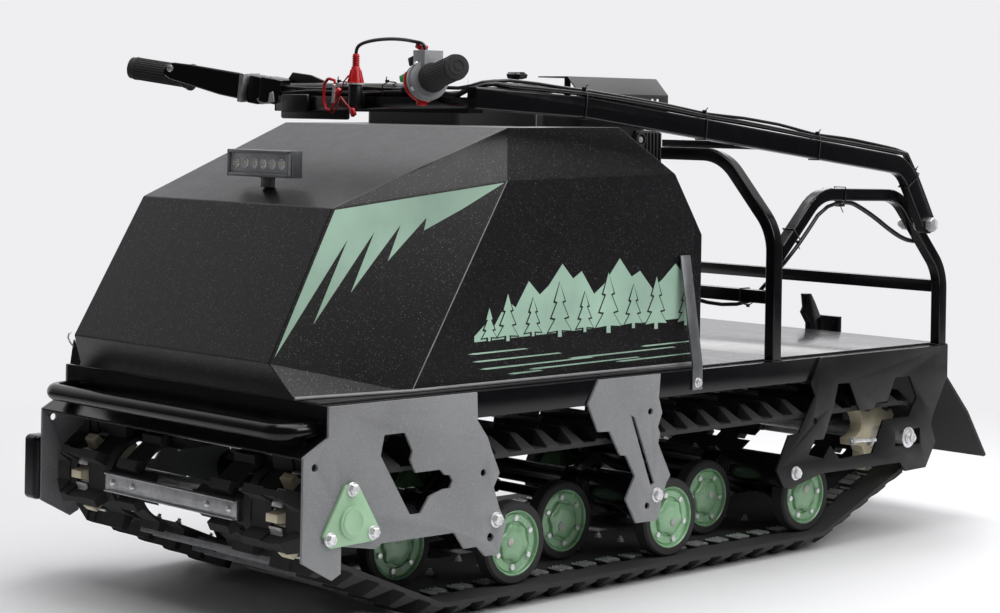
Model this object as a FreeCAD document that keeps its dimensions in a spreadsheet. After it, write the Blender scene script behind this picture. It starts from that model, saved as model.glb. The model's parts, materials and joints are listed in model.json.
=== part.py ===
"""Tracked snow towing vehicle with a folding drawbar handle, as a parametric FreeCAD document.

The frame: +Z up, the vehicle's front faces -Y, its left side is +X, and the ground is Z = 0.
The origin lies on the ground under the middle of the vehicle's box. All sizes are millimetres.
"""
import FreeCAD, Part
import math
import os
import re

import Sketcher
from FreeCAD import Placement, Rotation, Vector

DIMENSIONS = [
    # chassis
    ("plate_outer", 304.5, "outer face of the side plates from the middle plane"),
    ("plate_thick", 4.5, "thickness of the laser-cut side plates"),
    ("front_y", -760.0, "front edge of the front side plates"),
    ("rear_y", 636.0, "rear edge of the rear side plates"),
    ("rail_start_y", -719.0, "front end of the side rails"),
    ("rail_top", 312.0, "top of the side rails"),
    ("rail_high", 36.0, "height of the side rails"),
    ("rail_wide", 22.0, "width of the side rails"),
    ("rail_wall", 2.5, "wall of the side rails"),
    ("deck_thick", 3.0, "thickness of the deck sheets"),
    ("flange_low", 250.0, "lower edge of the rear deck's back flange"),
    ("deck_split_y", 212.0, "joint between the engine deck and the rear deck"),
    ("bumper_y", -768.0, "centre line of the front bumper tube"),
    ("bumper_z", 279.0, "height of the front bumper tube"),
    ("bumper_rad", 12.0, "radius of the front bumper tube"),
    # running gear
    ("drive_y", -682.0, "drive axle"),
    ("drive_z", 161.5, "height of the drive axle"),
    ("tail_y", 526.0, "rear axle"),
    ("tail_z", 165.0, "height of the rear axle"),
    ("belt_thick", 6.0, "thickness of the track's rubber belt"),
    ("lug_high", 21.0, "height of the track's lugs above the belt"),
    ("lug_pitch", 49.6, "spacing of the lugs, and of the windows between them"),
    ("lug_base", 26.0, "length of a lug's outer end at the belt"),
    ("lug_tip", 12.0, "length of a lug's outer end at its tip"),
    ("rib_base", 15.0, "length at the belt of the rib that a lug runs inward as"),
    ("rib_tip", 9.0, "length of a lug's rib at its tip"),
    ("band_in", 50.0, "inner edge of a track band from the middle plane"),
    ("band_gap", 12.0, "gap between a track band and the side plate"),
    ("window_set", 76.0, "inner edge of the track's windows from the band's outer edge"),
    ("window_wide", 30.0, "width of the track's windows"),
    ("web_long", 25.0, "length of the web between two windows"),
    ("bar_set", 59.5, "end of the steel cross bars from the windows"),
    ("bar_wide", 26.0, "width of the steel cross bars"),
    ("bar_thick", 3.5, "thickness of the steel cross bars"),
    ("seat_high", 7.0, "height of the rubber seat under a cross bar"),
    ("teeth", 7.0, "teeth on each sprocket"),
    ("wheel_rad", 59.0, "radius of the road wheels over the tyre"),
    ("tyre_deep", 13.0, "radial depth of the tyres"),
    ("wheel_wide", 25.0, "width of the road wheels"),
    ("inner_set", 32.0, "outer face of the inner road wheels from the windows"),
    ("outer_set", 26.0, "outer face of the outer road wheels from the band's outer edge"),
    ("axle_rad", 8.0, "radius of the road wheel axles"),
    ("shaft_rad", 12.5, "radius of the drive and rear axles"),
    ("pivot_z", 134.0, "height of the bogie pivots"),
    ("pivot_a_y", -419.0, "front bogie pivot"),
    ("pivot_b_y", -92.0, "middle bogie pivot"),
    ("pivot_c_y", 232.0, "rear bogie pivot"),
    ("lead_arm", 66.0, "inner wheels ahead of the bogie pivot"),
    ("trail_arm", 80.0, "outer wheels behind the bogie pivot"),
    # superstructure
    ("tube_side", 20.0, "side of the square frame tubes"),
    ("post_set", 13.5, "centre of the frame's posts and legs inside the plates' outer face"),
    ("hoop_y", 187.0, "plane of the middle hoop"),
    ("hoop_top", 631.0, "height of the middle hoop's top tube"),
    ("arch_top", 571.0, "height of the side arches"),
    ("rack_z", 411.0, "height of the rack's cross bars"),
    # handle
    ("hinge_y", 547.0, "handle hinge"),
    ("hinge_z", 518.5, "height of the handle hinge"),
    ("bolt_rad", 6.0, "radius of the hinge bolt"),
    ("arm_gap", 6.0, "gap between the near posts and the handle arm"),
    ("arm_wide", 18.0, "width of the handle arm"),
    ("arm_high", 30.0, "depth of the handle arm"),
    ("bar_end_y", -565.0, "end of the handlebar"),
    ("bar_end_z", 752.5, "height of the handlebar's end"),
    ("bar_mid_y", -466.0, "middle run of the handlebar"),
    ("bar_mid_z", 721.0, "height of the handlebar's middle run"),
    ("bar_half", 369.0, "end of the grips from the middle plane"),
    ("bar_rad", 11.0, "radius of the handlebar tube"),
    ("grip_rad", 16.5, "radius of the grips"),
    ("grip_long", 97.0, "length of the grips across the vehicle"),
    # hood and engine
    ("hood_sheet", 2.5, "thickness of the hood's panels"),
    ("hood_z", 315.3, "lower lip of the hood"),
    ("hood_set", 29.5, "widest part of the hood inside the plates' outer face"),
]

# distances from the middle plane that follow from the driving ones: (factor, name) terms, added up
WIDTHS = {
    "band_out": ((1, "plate_outer"), (-1, "plate_thick"), (-1, "band_gap")),
    "window_in": ((1, "band_out"), (-1, "window_set")),
    "bar_half_long": ((1, "window_in"), (-1, "bar_set")),
    "wheel_in_face": ((1, "window_in"), (-1, "inner_set")),
    "wheel_out_face": ((1, "band_out"), (-1, "outer_set")),
    "frame_half": ((1, "plate_outer"), (-1, "post_set")),
    "arm_in": ((1, "frame_half"), (0.5, "tube_side"), (1, "arm_gap")),
    "hood_half": ((1, "plate_outer"), (-1, "hood_set")),
}

doc = FreeCAD.newDocument("TowVehicle")
sheet = doc.addObject("Spreadsheet::Sheet", "Dims")
for row, (alias, value, meaning) in enumerate(DIMENSIONS, start=1):
    sheet.set(f"A{row}", meaning)
    sheet.set(f"B{row}", str(value))
    sheet.setAlias(f"B{row}", alias)
doc.recompute()

ALIASES = {alias for alias, _, _ in DIMENSIONS}
pieces = []


def dim(alias):
    """A driving dimension, as the sheet holds it, or a width that follows from some."""
    if alias in WIDTHS:
        return sum(factor * dim(name) for factor, name in WIDTHS[alias])
    return float(sheet.get(alias))


def word(name):
    """One name of an expression: a cell of the sheet, or a width written out over cells."""
    if name in WIDTHS:
        return "(" + " + ".join(f"{factor} * {word(part)}" for factor, part in WIDTHS[name]) + ")"
    return "Dims." + name if name in ALIASES else name


def formula(text):
    """An expression over aliases, written the way setExpression reads it."""
    if isinstance(text, (int, float)):
        return str(float(text))
    return re.sub(r"[a-z_]+[a-z_0-9]*", lambda found: word(found[0]), text)


def bind(obj, **sizes):
    """Bind properties of an object to formulas; a dot in a property is written as two underscores."""
    for prop, text in sizes.items():
        obj.setExpression(prop.replace("__", "."), formula(text))
    return obj


def keep(obj, label):
    """Name an object as a finished sub-part."""
    obj.Label = label
    pieces.append(obj)
    return obj


def box(x, y, z, long_x, long_y, long_z):
    """A box from its low corner and its lengths, all as formulas."""
    return bind(doc.addObject("Part::Box", "Block"), Placement__Base__x=x, Placement__Base__y=y,
                Placement__Base__z=z, Length=long_x, Width=long_y, Height=long_z)


TURNS = {"x": Rotation(Vector(0, 1, 0), 90), "y": Rotation(Vector(1, 0, 0), -90), "z": Rotation()}


def rod(axis, x, y, z, radius, length):
    """A cylinder that starts at a point and runs along +X, +Y or +Z."""
    obj = doc.addObject("Part::Cylinder", "Rod")
    obj.Placement = Placement(Vector(), TURNS[axis])
    return bind(obj, Placement__Base__x=x, Placement__Base__y=y, Placement__Base__z=z,
                Radius=radius, Height=length)


def cut(base, *tools):
    """The base less the tools."""
    for tool in tools:
        result = doc.addObject("Part::Cut", "Less")
        result.Base, result.Tool = base, tool
        base = result
    return base


def fuse(*shapes):
    """The shapes as one."""
    result = doc.addObject("Part::MultiFuse", "Joined")
    result.Shapes = list(shapes)
    return result


def together(*shapes):
    """Separate solids kept in one sub-part."""
    result = doc.addObject("Part::Compound", "Set")
    result.Links = list(shapes)
    return result


def mirrored(source):
    """The same shape on the other side of the middle plane."""
    result = doc.addObject("Part::Mirroring", "Mirror")
    result.Source = source
    result.Normal = Vector(1, 0, 0)
    return result


def keep_pair(source, label):
    """Keep a left piece and its mirrored right piece as one sub-part."""
    keep(together(source, mirrored(source)), label)


PLANES = {"yz": "YZ_Plane", "xz": "XZ_Plane", "xy": "XY_Plane"}


def plane_of(body, name):
    """One of a body's own origin planes."""
    return next(f for f in body.Origin.OriginFeatures if f.Role == PLANES[name])


def outline(body, plane, offset, points, circles=()):
    """A sketch of a closed outline, with round holes, on one of the body's planes."""
    sketch = body.newObject("Sketcher::SketchObject", "Outline")
    sketch.AttachmentSupport = [(plane_of(body, plane), "")]
    sketch.MapMode = "FlatFace"
    bind(sketch, AttachmentOffset__Base__z=offset)
    add_loop(sketch, points)
    add_circles(sketch, circles)
    return sketch


def add_loop(sketch, points):
    """Add a closed run of lines to a sketch, joined end to end."""
    ends = points[1:] + points[:1]
    first = sketch.GeometryCount
    for start, end in zip(points, ends):
        sketch.addGeometry(Part.LineSegment(Vector(*start, 0), Vector(*end, 0)), False)
    count = len(points)
    for index in range(count):
        sketch.addConstraint(Sketcher.Constraint("Coincident", first + index, 2,
                                                 first + (index + 1) % count, 1))


def add_circles(sketch, circles):
    """Add circles, each given as centre and radius."""
    for u, v, radius in circles:
        sketch.addGeometry(Part.Circle(Vector(u, v, 0), Vector(0, 0, 1), radius), False)


def sheet_part(plane, offset, points, thickness, windows=(), circles=()):
    """A flat plate: an outline padded by its thickness, with windows and round holes cut through."""
    body = doc.addObject("PartDesign::Body", "Plate")
    sketch = outline(body, plane, offset, points, circles)
    for window in windows:
        add_loop(sketch, window)
    pad = body.newObject("PartDesign::Pad", "Sheet")
    pad.Profile = sketch
    bind(pad, Length=thickness)
    return body


def rounded_path(points, radius):
    """A wire through the points with each corner rounded to the radius."""
    corners = [Vector(*p) for p in points]
    edges = []
    start = corners[0]
    for before, here, after in zip(corners, corners[1:], corners[2:]):
        arriving = (here - before).normalize()
        leaving = (after - here).normalize()
        turn = arriving.getAngle(leaving)
        setback = radius * math.tan(turn / 2)
        first, last = here - arriving * setback, here + leaving * setback
        middle_way = (leaving - arriving).normalize()
        centre = here + middle_way * (radius / math.cos(turn / 2))
        middle = centre - middle_way * radius
        edges += [Part.LineSegment(start, first).toShape(), Part.Arc(first, middle, last).toShape()]
        start = last
    edges.append(Part.LineSegment(start, corners[-1]).toShape())
    return Part.Wire(edges)


def bent_tube(points, bend, radius):
    """A round bar along a bent path."""
    path = rounded_path(points, bend)
    start = path.Edges[0]
    way = start.tangentAt(start.FirstParameter)
    ring = Part.Wire(Part.makeCircle(radius, start.valueAt(start.FirstParameter), way))
    return feature(path.makePipeShell([ring], True, False))


def bent_bar(points, bend, normal, wide, deep, corner=3.0):
    """A rectangular tube, bent in the plane that has this normal: wide along it and deep across it."""
    path = rounded_path(points, bend)
    start = path.Edges[0]
    origin = start.valueAt(start.FirstParameter)
    across = start.tangentAt(start.FirstParameter).cross(normal).normalize()
    half_w, half_d = wide / 2 - corner, deep / 2 - corner
    edges = []
    for index, (sign_w, sign_d) in enumerate(((1, 1), (-1, 1), (-1, -1), (1, -1))):
        middle = origin + normal * (sign_w * half_w) + across * (sign_d * half_d)
        first, last = (across, normal) if index % 2 else (normal, across)
        first = first * (sign_d if index % 2 else sign_w)
        last = last * (sign_w if index % 2 else sign_d)
        tip = middle + (first + last).normalize() * corner
        edges.append(Part.Arc(middle + first * corner, tip, middle + last * corner).toShape())
    ring = []
    for index, edge in enumerate(edges):
        ring.append(edge)
        after = edges[(index + 1) % 4]
        ring.append(Part.LineSegment(edge.valueAt(edge.LastParameter),
                                     after.valueAt(after.FirstParameter)).toShape())
    return feature(path.makePipeShell([Part.Wire(ring)], True, False))


def cord_tube(points, radius):
    """A cord: straight runs joined by arcs, each as large as its two runs allow."""
    corners = [Vector(*p) for p in points]
    edges = []
    start = corners[0]
    for before, here, after in zip(corners, corners[1:], corners[2:]):
        setback = 0.45 * min((here - before).Length, (after - here).Length)
        first = here + (before - here).normalize() * setback
        last = here + (after - here).normalize() * setback
        turn = (here - before).getAngle(after - here)
        inward = (before - here).normalize() + (after - here).normalize()
        bend = setback / math.tan(turn / 2)
        middle = here + inward.normalize() * (bend / math.cos(turn / 2) - bend)
        edges += [Part.LineSegment(start, first).toShape(), Part.Arc(first, middle, last).toShape()]
        start = last
    edges.append(Part.LineSegment(start, corners[-1]).toShape())
    ring = Part.Wire(Part.makeCircle(radius, corners[0], corners[1] - corners[0]))
    return feature(Part.Wire(edges).makePipeShell([ring], True, False))


def hexagon(x, y, z, across_corners, length):
    """A hexagonal nut or bolt head that starts at a point and runs along +X."""
    obj = doc.addObject("Part::Prism", "Hexagon")
    obj.Polygon = 6
    obj.Placement = Placement(Vector(), TURNS["x"])
    return bind(obj, Placement__Base__x=x, Placement__Base__y=y, Placement__Base__z=z,
                Circumradius=across_corners, Height=length)


def rounded(source, radius):
    """A copy of a shape with every edge rounded."""
    doc.recompute()
    result = doc.addObject("Part::Fillet", "Rounded")
    result.Base = source
    result.Edges = [(index + 1, radius, radius) for index in range(len(source.Shape.Edges))]
    return result


def turned(profile, angle=360.0):
    """A body turned round the X axis from (distance along X, radius) points."""
    body = doc.addObject("PartDesign::Body", "Turned")
    sketch = body.newObject("Sketcher::SketchObject", "Profile")
    sketch.AttachmentSupport = [(plane_of(body, "xy"), "")]
    sketch.MapMode = "FlatFace"
    add_loop(sketch, profile)
    spin = body.newObject("PartDesign::Revolution", "Turn")
    spin.Profile = sketch
    spin.ReferenceAxis = (sketch, ["H_Axis"])
    spin.Angle = angle
    return body


def copy_at(source, x, y, z, flip=False):
    """A copy of a body set at a point, turned end for end where asked."""
    shape = source.Shape.copy()
    turn = Rotation(Vector(0, 0, 1), 180 if flip else 0)
    shape.Placement = Placement(Vector(x, y, z), turn)
    return feature(shape)


def feature(shape):
    """A shape made with Part's own functions, as an object of the document."""
    obj = doc.addObject("Part::Feature", "Form")
    obj.Shape = shape
    return obj


# ---------------------------------------------------------------- chassis
def side_rails():
    """Rectangular tubes that carry the deck and the side plates."""
    x = "plate_outer - plate_thick - rail_wide"
    long_y = "rear_y - rail_start_y - deck_thick"
    outer = box(x, "rail_start_y + deck_thick", "rail_top - rail_high", "rail_wide",
                long_y + " - deck_thick", "rail_high")
    inner = box(x + " + rail_wall", "rail_start_y + deck_thick - 1", "rail_top - rail_high + rail_wall",
                "rail_wide - 2 * rail_wall", long_y + " + 2", "rail_high - 2 * rail_wall")
    rail = cut(outer, inner)
    keep_pair(rail, "side_rails")


def front_plates():
    """Front side plates, which carry the drive axle and the front bogie."""
    front, top, start = dim("front_y"), dim("rail_top"), dim("rail_start_y")
    pivot, low = dim("pivot_a_y"), dim("pivot_z")
    edge = [(start, top), (start, 272), (front, 250), (front, 116), (front + 50, 88), (front + 65, 95),
            (front + 65, 130), (front + 123, 120), (front + 133, 126), (pivot - 77, 125),
            (pivot - 59, 101), (pivot - 35, 101), (pivot - 19, 86), (pivot + 6, 86),
            (pivot + 20, low - 6), (pivot + 7, 148), (pivot - 5, 179), (pivot + 6, 198),
            (pivot - 11, 233), (pivot - 18, 249), (pivot - 37, 273), (pivot - 39, top)]
    window = [(-624, 268), (-588, 268), (-574, 243), (-578, 231), (-568, 213), (-523, 213),
              (-516, 205), (-506, 204), (-501, 196), (-506, 186), (-517, 186), (-543, 179),
              (-558, 158), (-577, 158), (-630, 241)]
    holes = [(-741, 236, 5), (pivot - 25, 201, 5), (pivot - 10, 111, 6),
             (dim("drive_y"), dim("drive_z"), dim("shaft_rad") + 0.5)]
    plate = sheet_part("yz", "plate_outer - plate_thick", edge, "plate_thick", [window], holes)
    keep_pair(plate, "front_plates")


def middle_brackets():
    """Zigzag hangers of the middle bogie."""
    y, low, top = dim("pivot_b_y"), dim("pivot_z"), dim("rail_top")
    edge = [(y - 126, top), (y - 148, 278), (y - 126, 237), (y - 102, 236), (y - 79, 199),
            (y - 67, 198), (y - 47, 166), (y - 66, low), (y - 43, 97), (y + 2, 96), (y + 21, 149),
            (y + 30, 160), (y + 2, 210), (y + 6, 224), (y + 1, 234), (y + 10, 254), (y + 2, 277),
            (y + 5, top)]
    slot = [(y - 58, 256), (y - 50, 252), (y - 5, 152), (y - 13, 148)]
    holes = [(y - 20, 120, 5), (y - 16, 258, 5)]
    plate = sheet_part("yz", "plate_outer - plate_thick", edge, "plate_thick", [slot], holes)
    keep_pair(plate, "middle_brackets")


def rear_plates():
    """Rear side plates, which carry the rear bogie and the sliding rear axle."""
    rear, top = dim("rear_y"), dim("rail_top")
    pivot = dim("pivot_c_y")
    tail, tail_z = dim("tail_y"), dim("tail_z")
    edge = [(pivot + 61, top), (pivot + 35, 273), (pivot + 47, 253), (pivot + 7, 195),
            (pivot - 17, 195), (pivot - 47, 143), (pivot - 28, 113), (pivot - 6, 112),
            (pivot + 68, 127), (rear - 129, 125), (rear - 115, 109), (rear - 58, 110),
            (rear - 31, 151), (rear - 46, 181), (rear - 38, 199), (rear - 6, 251), (rear, 257),
            (rear, top)]
    window = [(337, 267), (367, 267), (394, 220), (431, 219), (438, 229), (468, 229), (490, 267),
              (529, 266), (550, 230), (529, 199), (459, 199), (431, 147), (343, 146), (319, 170),
              (304, 150), (264, 160), (280, 182), (302, 181), (328, 234)]
    slot_half, slot_rad = 34, 13
    slot = [(tail - slot_half, tail_z - slot_rad), (tail + slot_half, tail_z - slot_rad),
            (tail + slot_half, tail_z + slot_rad), (tail - slot_half, tail_z + slot_rad)]
    plate = sheet_part("yz", "plate_outer - plate_thick", edge, "plate_thick", [window, slot],
                       [(pivot + 47, 212, 5)])
    keep_pair(plate, "rear_plates")


def front_panel():
    """Bent sheet that closes the front between the side plates, above the track."""
    start, front, top, thick = dim("rail_start_y"), dim("front_y"), dim("rail_top"), dim("deck_thick")
    profile = [(start, top), (start, 272), (front, 250), (front, 250 - thick), (start + thick, 269),
               (start + thick, top)]
    body = sheet_part("yz", "-(plate_outer - plate_thick)", profile, "2 * (plate_outer - plate_thick)")
    keep(body, "front_panel")


def front_bumper():
    """Bent bumper tube between the side plates, its ends welded to the front panel."""
    half, y, z = dim("hood_half"), dim("bumper_y"), dim("bumper_z")
    start, front, top = dim("rail_start_y"), dim("front_y"), dim("rail_top")
    points = [(half, start + 5, z), (half, y, z), (-half, y, z), (-half, start + 5, z)]
    tube = bent_tube(points, 28, dim("bumper_rad"))
    behind = [(start, top), (start, 272), (front, 250), (start + 40, 250), (start + 40, top)]
    keep(cut(tube, sheet_part("yz", "-plate_outer", behind, "2 * plate_outer")), "front_bumper")


def decks():
    """Deck sheets between the posts: under the engine, and behind the hoop with a rear flange."""
    x = "-(frame_half - tube_side / 2 - 0.5)"
    wide = "2 * (frame_half - tube_side / 2 - 0.5)"
    keep(box(x, "rail_start_y", "rail_top", wide, "deck_split_y - rail_start_y", "deck_thick"),
         "engine_deck")
    sheet_top = box(x, "deck_split_y", "rail_top", wide, "rear_y - deck_split_y", "deck_thick")
    flange = box(x, "rear_y - deck_thick", "flange_low", wide, "deck_thick", "rail_top - flange_low")
    keep(fuse(sheet_top, flange), "rear_deck")


def hoops():
    """Middle hoop, side arches and the rack's cross bars, all of square tube."""
    half, hoop_y, top, side = dim("frame_half"), dim("hoop_y"), dim("hoop_top"), dim("tube_side")
    foot = dim("rail_top")
    shoulder_x, shoulder_z = half - 106, top - 117
    points = [(half, hoop_y, foot), (half, hoop_y, shoulder_z), (shoulder_x, hoop_y, top),
              (-shoulder_x, hoop_y, top), (-half, hoop_y, shoulder_z), (-half, hoop_y, foot)]
    keep(bent_bar(points, 85, Vector(0, 1, 0), side, side), "middle_hoop")

    post_y, arch_top = dim("rear_y") - side / 2, dim("arch_top")
    bends = [(half, post_y, foot), (half, post_y, arch_top - 134), (half, post_y - 126, arch_top - 4),
             (half, hoop_y + 104, arch_top), (half, hoop_y, arch_top - 101)]
    arch = bent_bar(bends, 75, Vector(1, 0, 0), side, side)
    leg = box("frame_half - tube_side", "hoop_y - 2 * tube_side", "arch_top - 150", "2 * tube_side",
              "2.5 * tube_side", "150")
    hole = rod("x", "frame_half - tube_side", "hinge_y", "hinge_z", "bolt_rad", "2 * tube_side")
    keep_pair(cut(arch, leg, hole), "side_arches")

    start = "-(frame_half - tube_side / 2)"
    wide = "2 * frame_half - tube_side"
    bars = [box(start, y, "rack_z - tube_side / 2", wide, "tube_side", "tube_side")
            for y in ("hoop_y - tube_side / 2", "rear_y - tube_side")]
    keep(together(*bars), "rack_bars")


def mud_flap():
    """Flexible flap hung from the rear of the deck."""
    rear = dim("rear_y")
    profile = [(rear, 275), (rear + 5, 275), (rear + 9, 260), (rear + 28, 255), (rear + 92, 190),
               (rear + 148, 110), (rear + 142, 107), (rear + 86, 187), (rear + 26, 250),
               (rear + 5, 254), (rear, 262)]
    keep(sheet_part("yz", "-(plate_outer - 20)", profile, "2 * (plate_outer - 20)"), "mud_flap")


def tow_hitch():
    """Hitch jaw behind the deck: a floor with a pin hole, a rear wall and a hooked catch plate."""
    rear, floor_z = dim("rear_y"), dim("rail_top") - 18
    plate = box("-45", "rear_y", "rail_top - 34", "90", "6", "32")
    floor = box("-25", "rear_y", "rail_top - 26", "50", "70", "8")
    wall = box("-25", "rear_y + 61", "rail_top - 26", "50", "9", "49")
    edge = [(rear + 4, floor_z), (rear + 4, floor_z + 31), (rear - 12, floor_z + 51),
            (rear - 6, floor_z + 60), (rear - 10, floor_z + 84), (rear + 6, floor_z + 84),
            (rear + 19, floor_z + 66), (rear + 34, floor_z + 42), (rear + 36, floor_z + 26),
            (rear + 28, floor_z)]
    hook = sheet_part("yz", "-6", edge, "12")
    hole = rod("z", "0", "rear_y + 49", "rail_top - 50", "8.5", "50")
    keep(cut(fuse(plate, floor, wall, hook), hole), "tow_hitch")


# ---------------------------------------------------------------- running gear
def drive_radius():
    """Inner radius of the track round a sprocket: the windows meet the teeth at the belt's middle."""
    return dim("teeth") * dim("lug_pitch") / (2 * math.pi) - dim("belt_thick") / 2


def belt_path():
    """The rounds that the track runs on, in the Y-Z plane: centre and radius of the belt's middle."""
    wheel, middle = dim("wheel_rad"), dim("belt_thick") / 2
    floor = dim("lug_high") + dim("belt_thick")
    front_wheel = dim("pivot_a_y") - dim("lead_arm")
    rear_wheel = dim("pivot_c_y") + dim("trail_arm")
    return [(dim("drive_y"), dim("drive_z"), drive_radius() + middle),
            (front_wheel, floor + wheel, wheel + middle),
            (rear_wheel, floor + wheel, wheel + middle),
            (dim("tail_y"), dim("tail_z"), drive_radius() + middle)]


def belt_line(circles):
    """Walk the belt from under the drive wheel: straight and round pieces with their lengths."""
    walk = []
    count = len(circles)
    touches = []
    for index in range(count):
        (y1, z1, r1), (y2, z2, r2) = circles[index], circles[(index + 1) % count]
        gap = math.hypot(y2 - y1, z2 - z1)
        along = math.atan2(z2 - z1, y2 - y1)
        lean = math.asin((r1 - r2) / gap)
        normal = along - math.pi / 2 + lean
        way = Vector(math.cos(normal), math.sin(normal), 0)
        touches.append((Vector(y1, z1, 0) + way * r1, Vector(y2, z2, 0) + way * r2, normal))
    for index in range(count):
        start, end, normal = touches[index]
        walk.append(("line", start, end, normal, (end - start).Length))
        y2, z2, r2 = circles[(index + 1) % count]
        turn = (touches[(index + 1) % count][2] - normal) % (2 * math.pi)
        walk.append(("arc", Vector(y2, z2, 0), r2, normal, r2 * turn))
    return walk


def belt_point(walk, distance, offset):
    """The point at a distance along the belt's middle, pushed outward by an offset."""
    distance %= sum(piece[4] for piece in walk)
    for kind, first, second, normal, length in walk:
        if distance <= length:
            if kind == "line":
                way = (second - first).normalize()
                return first + way * distance + Vector(math.cos(normal), math.sin(normal), 0) * offset
            angle = normal + distance / second
            return first + Vector(math.cos(angle), math.sin(angle), 0) * (second + offset)
        distance -= length
    return belt_point(walk, 0, offset)


def window_rows(walk):
    """Distances along the belt of its windows; the first one faces straight forward on the drive wheel."""
    total = sum(piece[4] for piece in walk)
    count = 2 * round(total / dim("lug_pitch") / 2)
    kind, centre, radius, normal, length = walk[-1]
    forward = total - length + radius * (math.pi - normal % (2 * math.pi))
    return [forward + row * total / count for row in range(count)]


def lug_rows(walk):
    """Distances along the belt of the lugs, halfway between its windows."""
    rows = window_rows(walk)
    half = (rows[1] - rows[0]) / 2
    return [row + half for row in rows]


def smooth_loop(walk, offset):
    """The belt's closed line at an offset, as straight lines and arcs."""
    edges = []
    for kind, first, second, normal, length in walk:
        if kind == "line":
            push = Vector(math.cos(normal), math.sin(normal), 0) * offset
            edges.append(Part.LineSegment(first + push, second + push).toShape())
        else:
            angles = [normal + share * length / second for share in (0, 0.5, 1)]
            points = [first + Vector(math.cos(a), math.sin(a), 0) * (second + offset) for a in angles]
            edges.append(Part.Arc(*points).toShape())
    return Part.Wire(edges)


def toothed_loop(walk, rows, profile):
    """The belt's closed outer line with the same profile, (shift, offset) points, at every row."""
    points = [belt_point(walk, row + shift, offset) for row in rows for shift, offset in profile]
    return Part.makePolygon(points + points[:1])


def strip(wire, start, end):
    """A loop's inside as a slab between two distances from the middle plane."""
    face = Part.Face(wire)
    face.Placement = Placement(Vector(), Rotation(Vector(1, 1, 1), 120))
    slab = face.extrude(Vector(end - start, 0, 0))
    slab.translate(Vector(start, 0, 0))
    return slab


def lug_end(walk, row, start, end):
    """The outer end of a lug: broad at the belt, and falling away to the band's edge."""
    skin, tall, base, tip = dim("belt_thick") / 2, dim("lug_high"), dim("lug_base") / 2, dim("lug_tip") / 2
    rings = []
    for x, high, narrow in ((start, tall, tip), (end, 2.5, base - 1.5)):
        corners = [belt_point(walk, row + shift, offset)
                   for shift, offset in ((-base, skin - 1), (-narrow, skin + high),
                                         (narrow, skin + high), (base, skin - 1))]
        rings.append(Part.makePolygon([Vector(x, p.x, p.y) for p in corners + corners[:1]]))
    return Part.makeLoft(rings, True, True)


def track():
    """The track: two rubber bands with lugs and windows, on steel cross bars that join them."""
    walk = belt_line(belt_path())
    skin, tall = dim("belt_thick") / 2, dim("lug_high")
    base, tip, seat = dim("rib_base") / 2, dim("rib_tip") / 2, dim("bar_wide") / 2 + 1
    top, block = skin + dim("seat_high"), 8
    windows, lugs = window_rows(walk), lug_rows(walk)
    seat_line = [(-seat, skin), (1 - seat, top), (seat - 1, top), (seat, skin)]
    block_line = [(-block, skin), (3 - block, skin + 11), (block - 3, skin + 11), (block, skin)]
    rib_line = [(-base, skin), (-tip, skin + tall), (tip, skin + tall), (base, skin)]
    seats = toothed_loop(walk, windows[::2], seat_line)
    blocks = toothed_loop(walk, lugs, block_line)
    ribs = toothed_loop(walk, lugs, rib_line)
    plain = smooth_loop(walk, skin)
    inner, bar_end = dim("band_in"), dim("bar_half_long") + 0.5
    window, window_end = dim("window_in"), dim("window_in") + dim("window_wide")
    edge, slope = dim("band_out"), 30
    zones = [(seats, inner, bar_end), (blocks, inner + 35, inner + 80), (plain, bar_end, bar_end + 17),
             (ribs, bar_end + 17, window), (ribs, window_end, edge - slope), (plain, edge - slope, edge)]
    slabs = [strip(wire, start, end) for wire, start, end in zones]
    half, thin = dim("web_long") / 2, 4
    webs = []
    for row in lugs:
        outline = [belt_point(walk, row + shift, offset)
                   for shift, offset in ((-half, -skin), (0, -skin), (half, -skin), (half, skin),
                                         (thin, skin), (thin - 1, skin + tall), (1 - thin, skin + tall),
                                         (-thin, skin), (-half, skin))]
        webs.append(strip(Part.makePolygon(outline + outline[:1]), window - 1, window_end + 1))
    ends = [lug_end(walk, row, edge - slope, edge) for row in lugs]
    hollow = strip(smooth_loop(walk, -skin), 0, edge + 1)
    band = slabs[0].fuse(slabs[1:]).cut(hollow).fuse(webs + ends)
    left = feature(band)
    keep(together(left, mirrored(left)), "track")

    bars = []
    for row in windows[::2]:
        first, last = belt_point(walk, row + 1 - seat, top), belt_point(walk, row + seat - 1, top)
        middle = (first + last) / 2
        lean = math.degrees(math.atan2(last.y - first.y, last.x - first.x))
        long, wide = dim("bar_half_long"), dim("bar_wide")
        bar = Part.makeBox(2 * long, wide, dim("bar_thick"), Vector(-long, -wide / 2, -dim("bar_thick")))
        bar.Placement = Placement(Vector(0, middle.x, middle.y), Rotation(Vector(1, 0, 0), lean))
        bars.append(feature(bar))
    keep(together(*bars), "track_bars")


def tooth_phase(y, z):
    """The angle of a sprocket's first tooth, so that its teeth stand in the track's windows."""
    walk = belt_line(belt_path())
    reach = drive_radius() + dim("belt_thick")
    points = [belt_point(walk, row, 0) for row in window_rows(walk)]
    near = [p for p in points if math.hypot(p.x - y, p.y - z) < reach]
    middle = near[len(near) // 2]
    return math.atan2(middle.y - z, middle.x - y)


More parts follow.
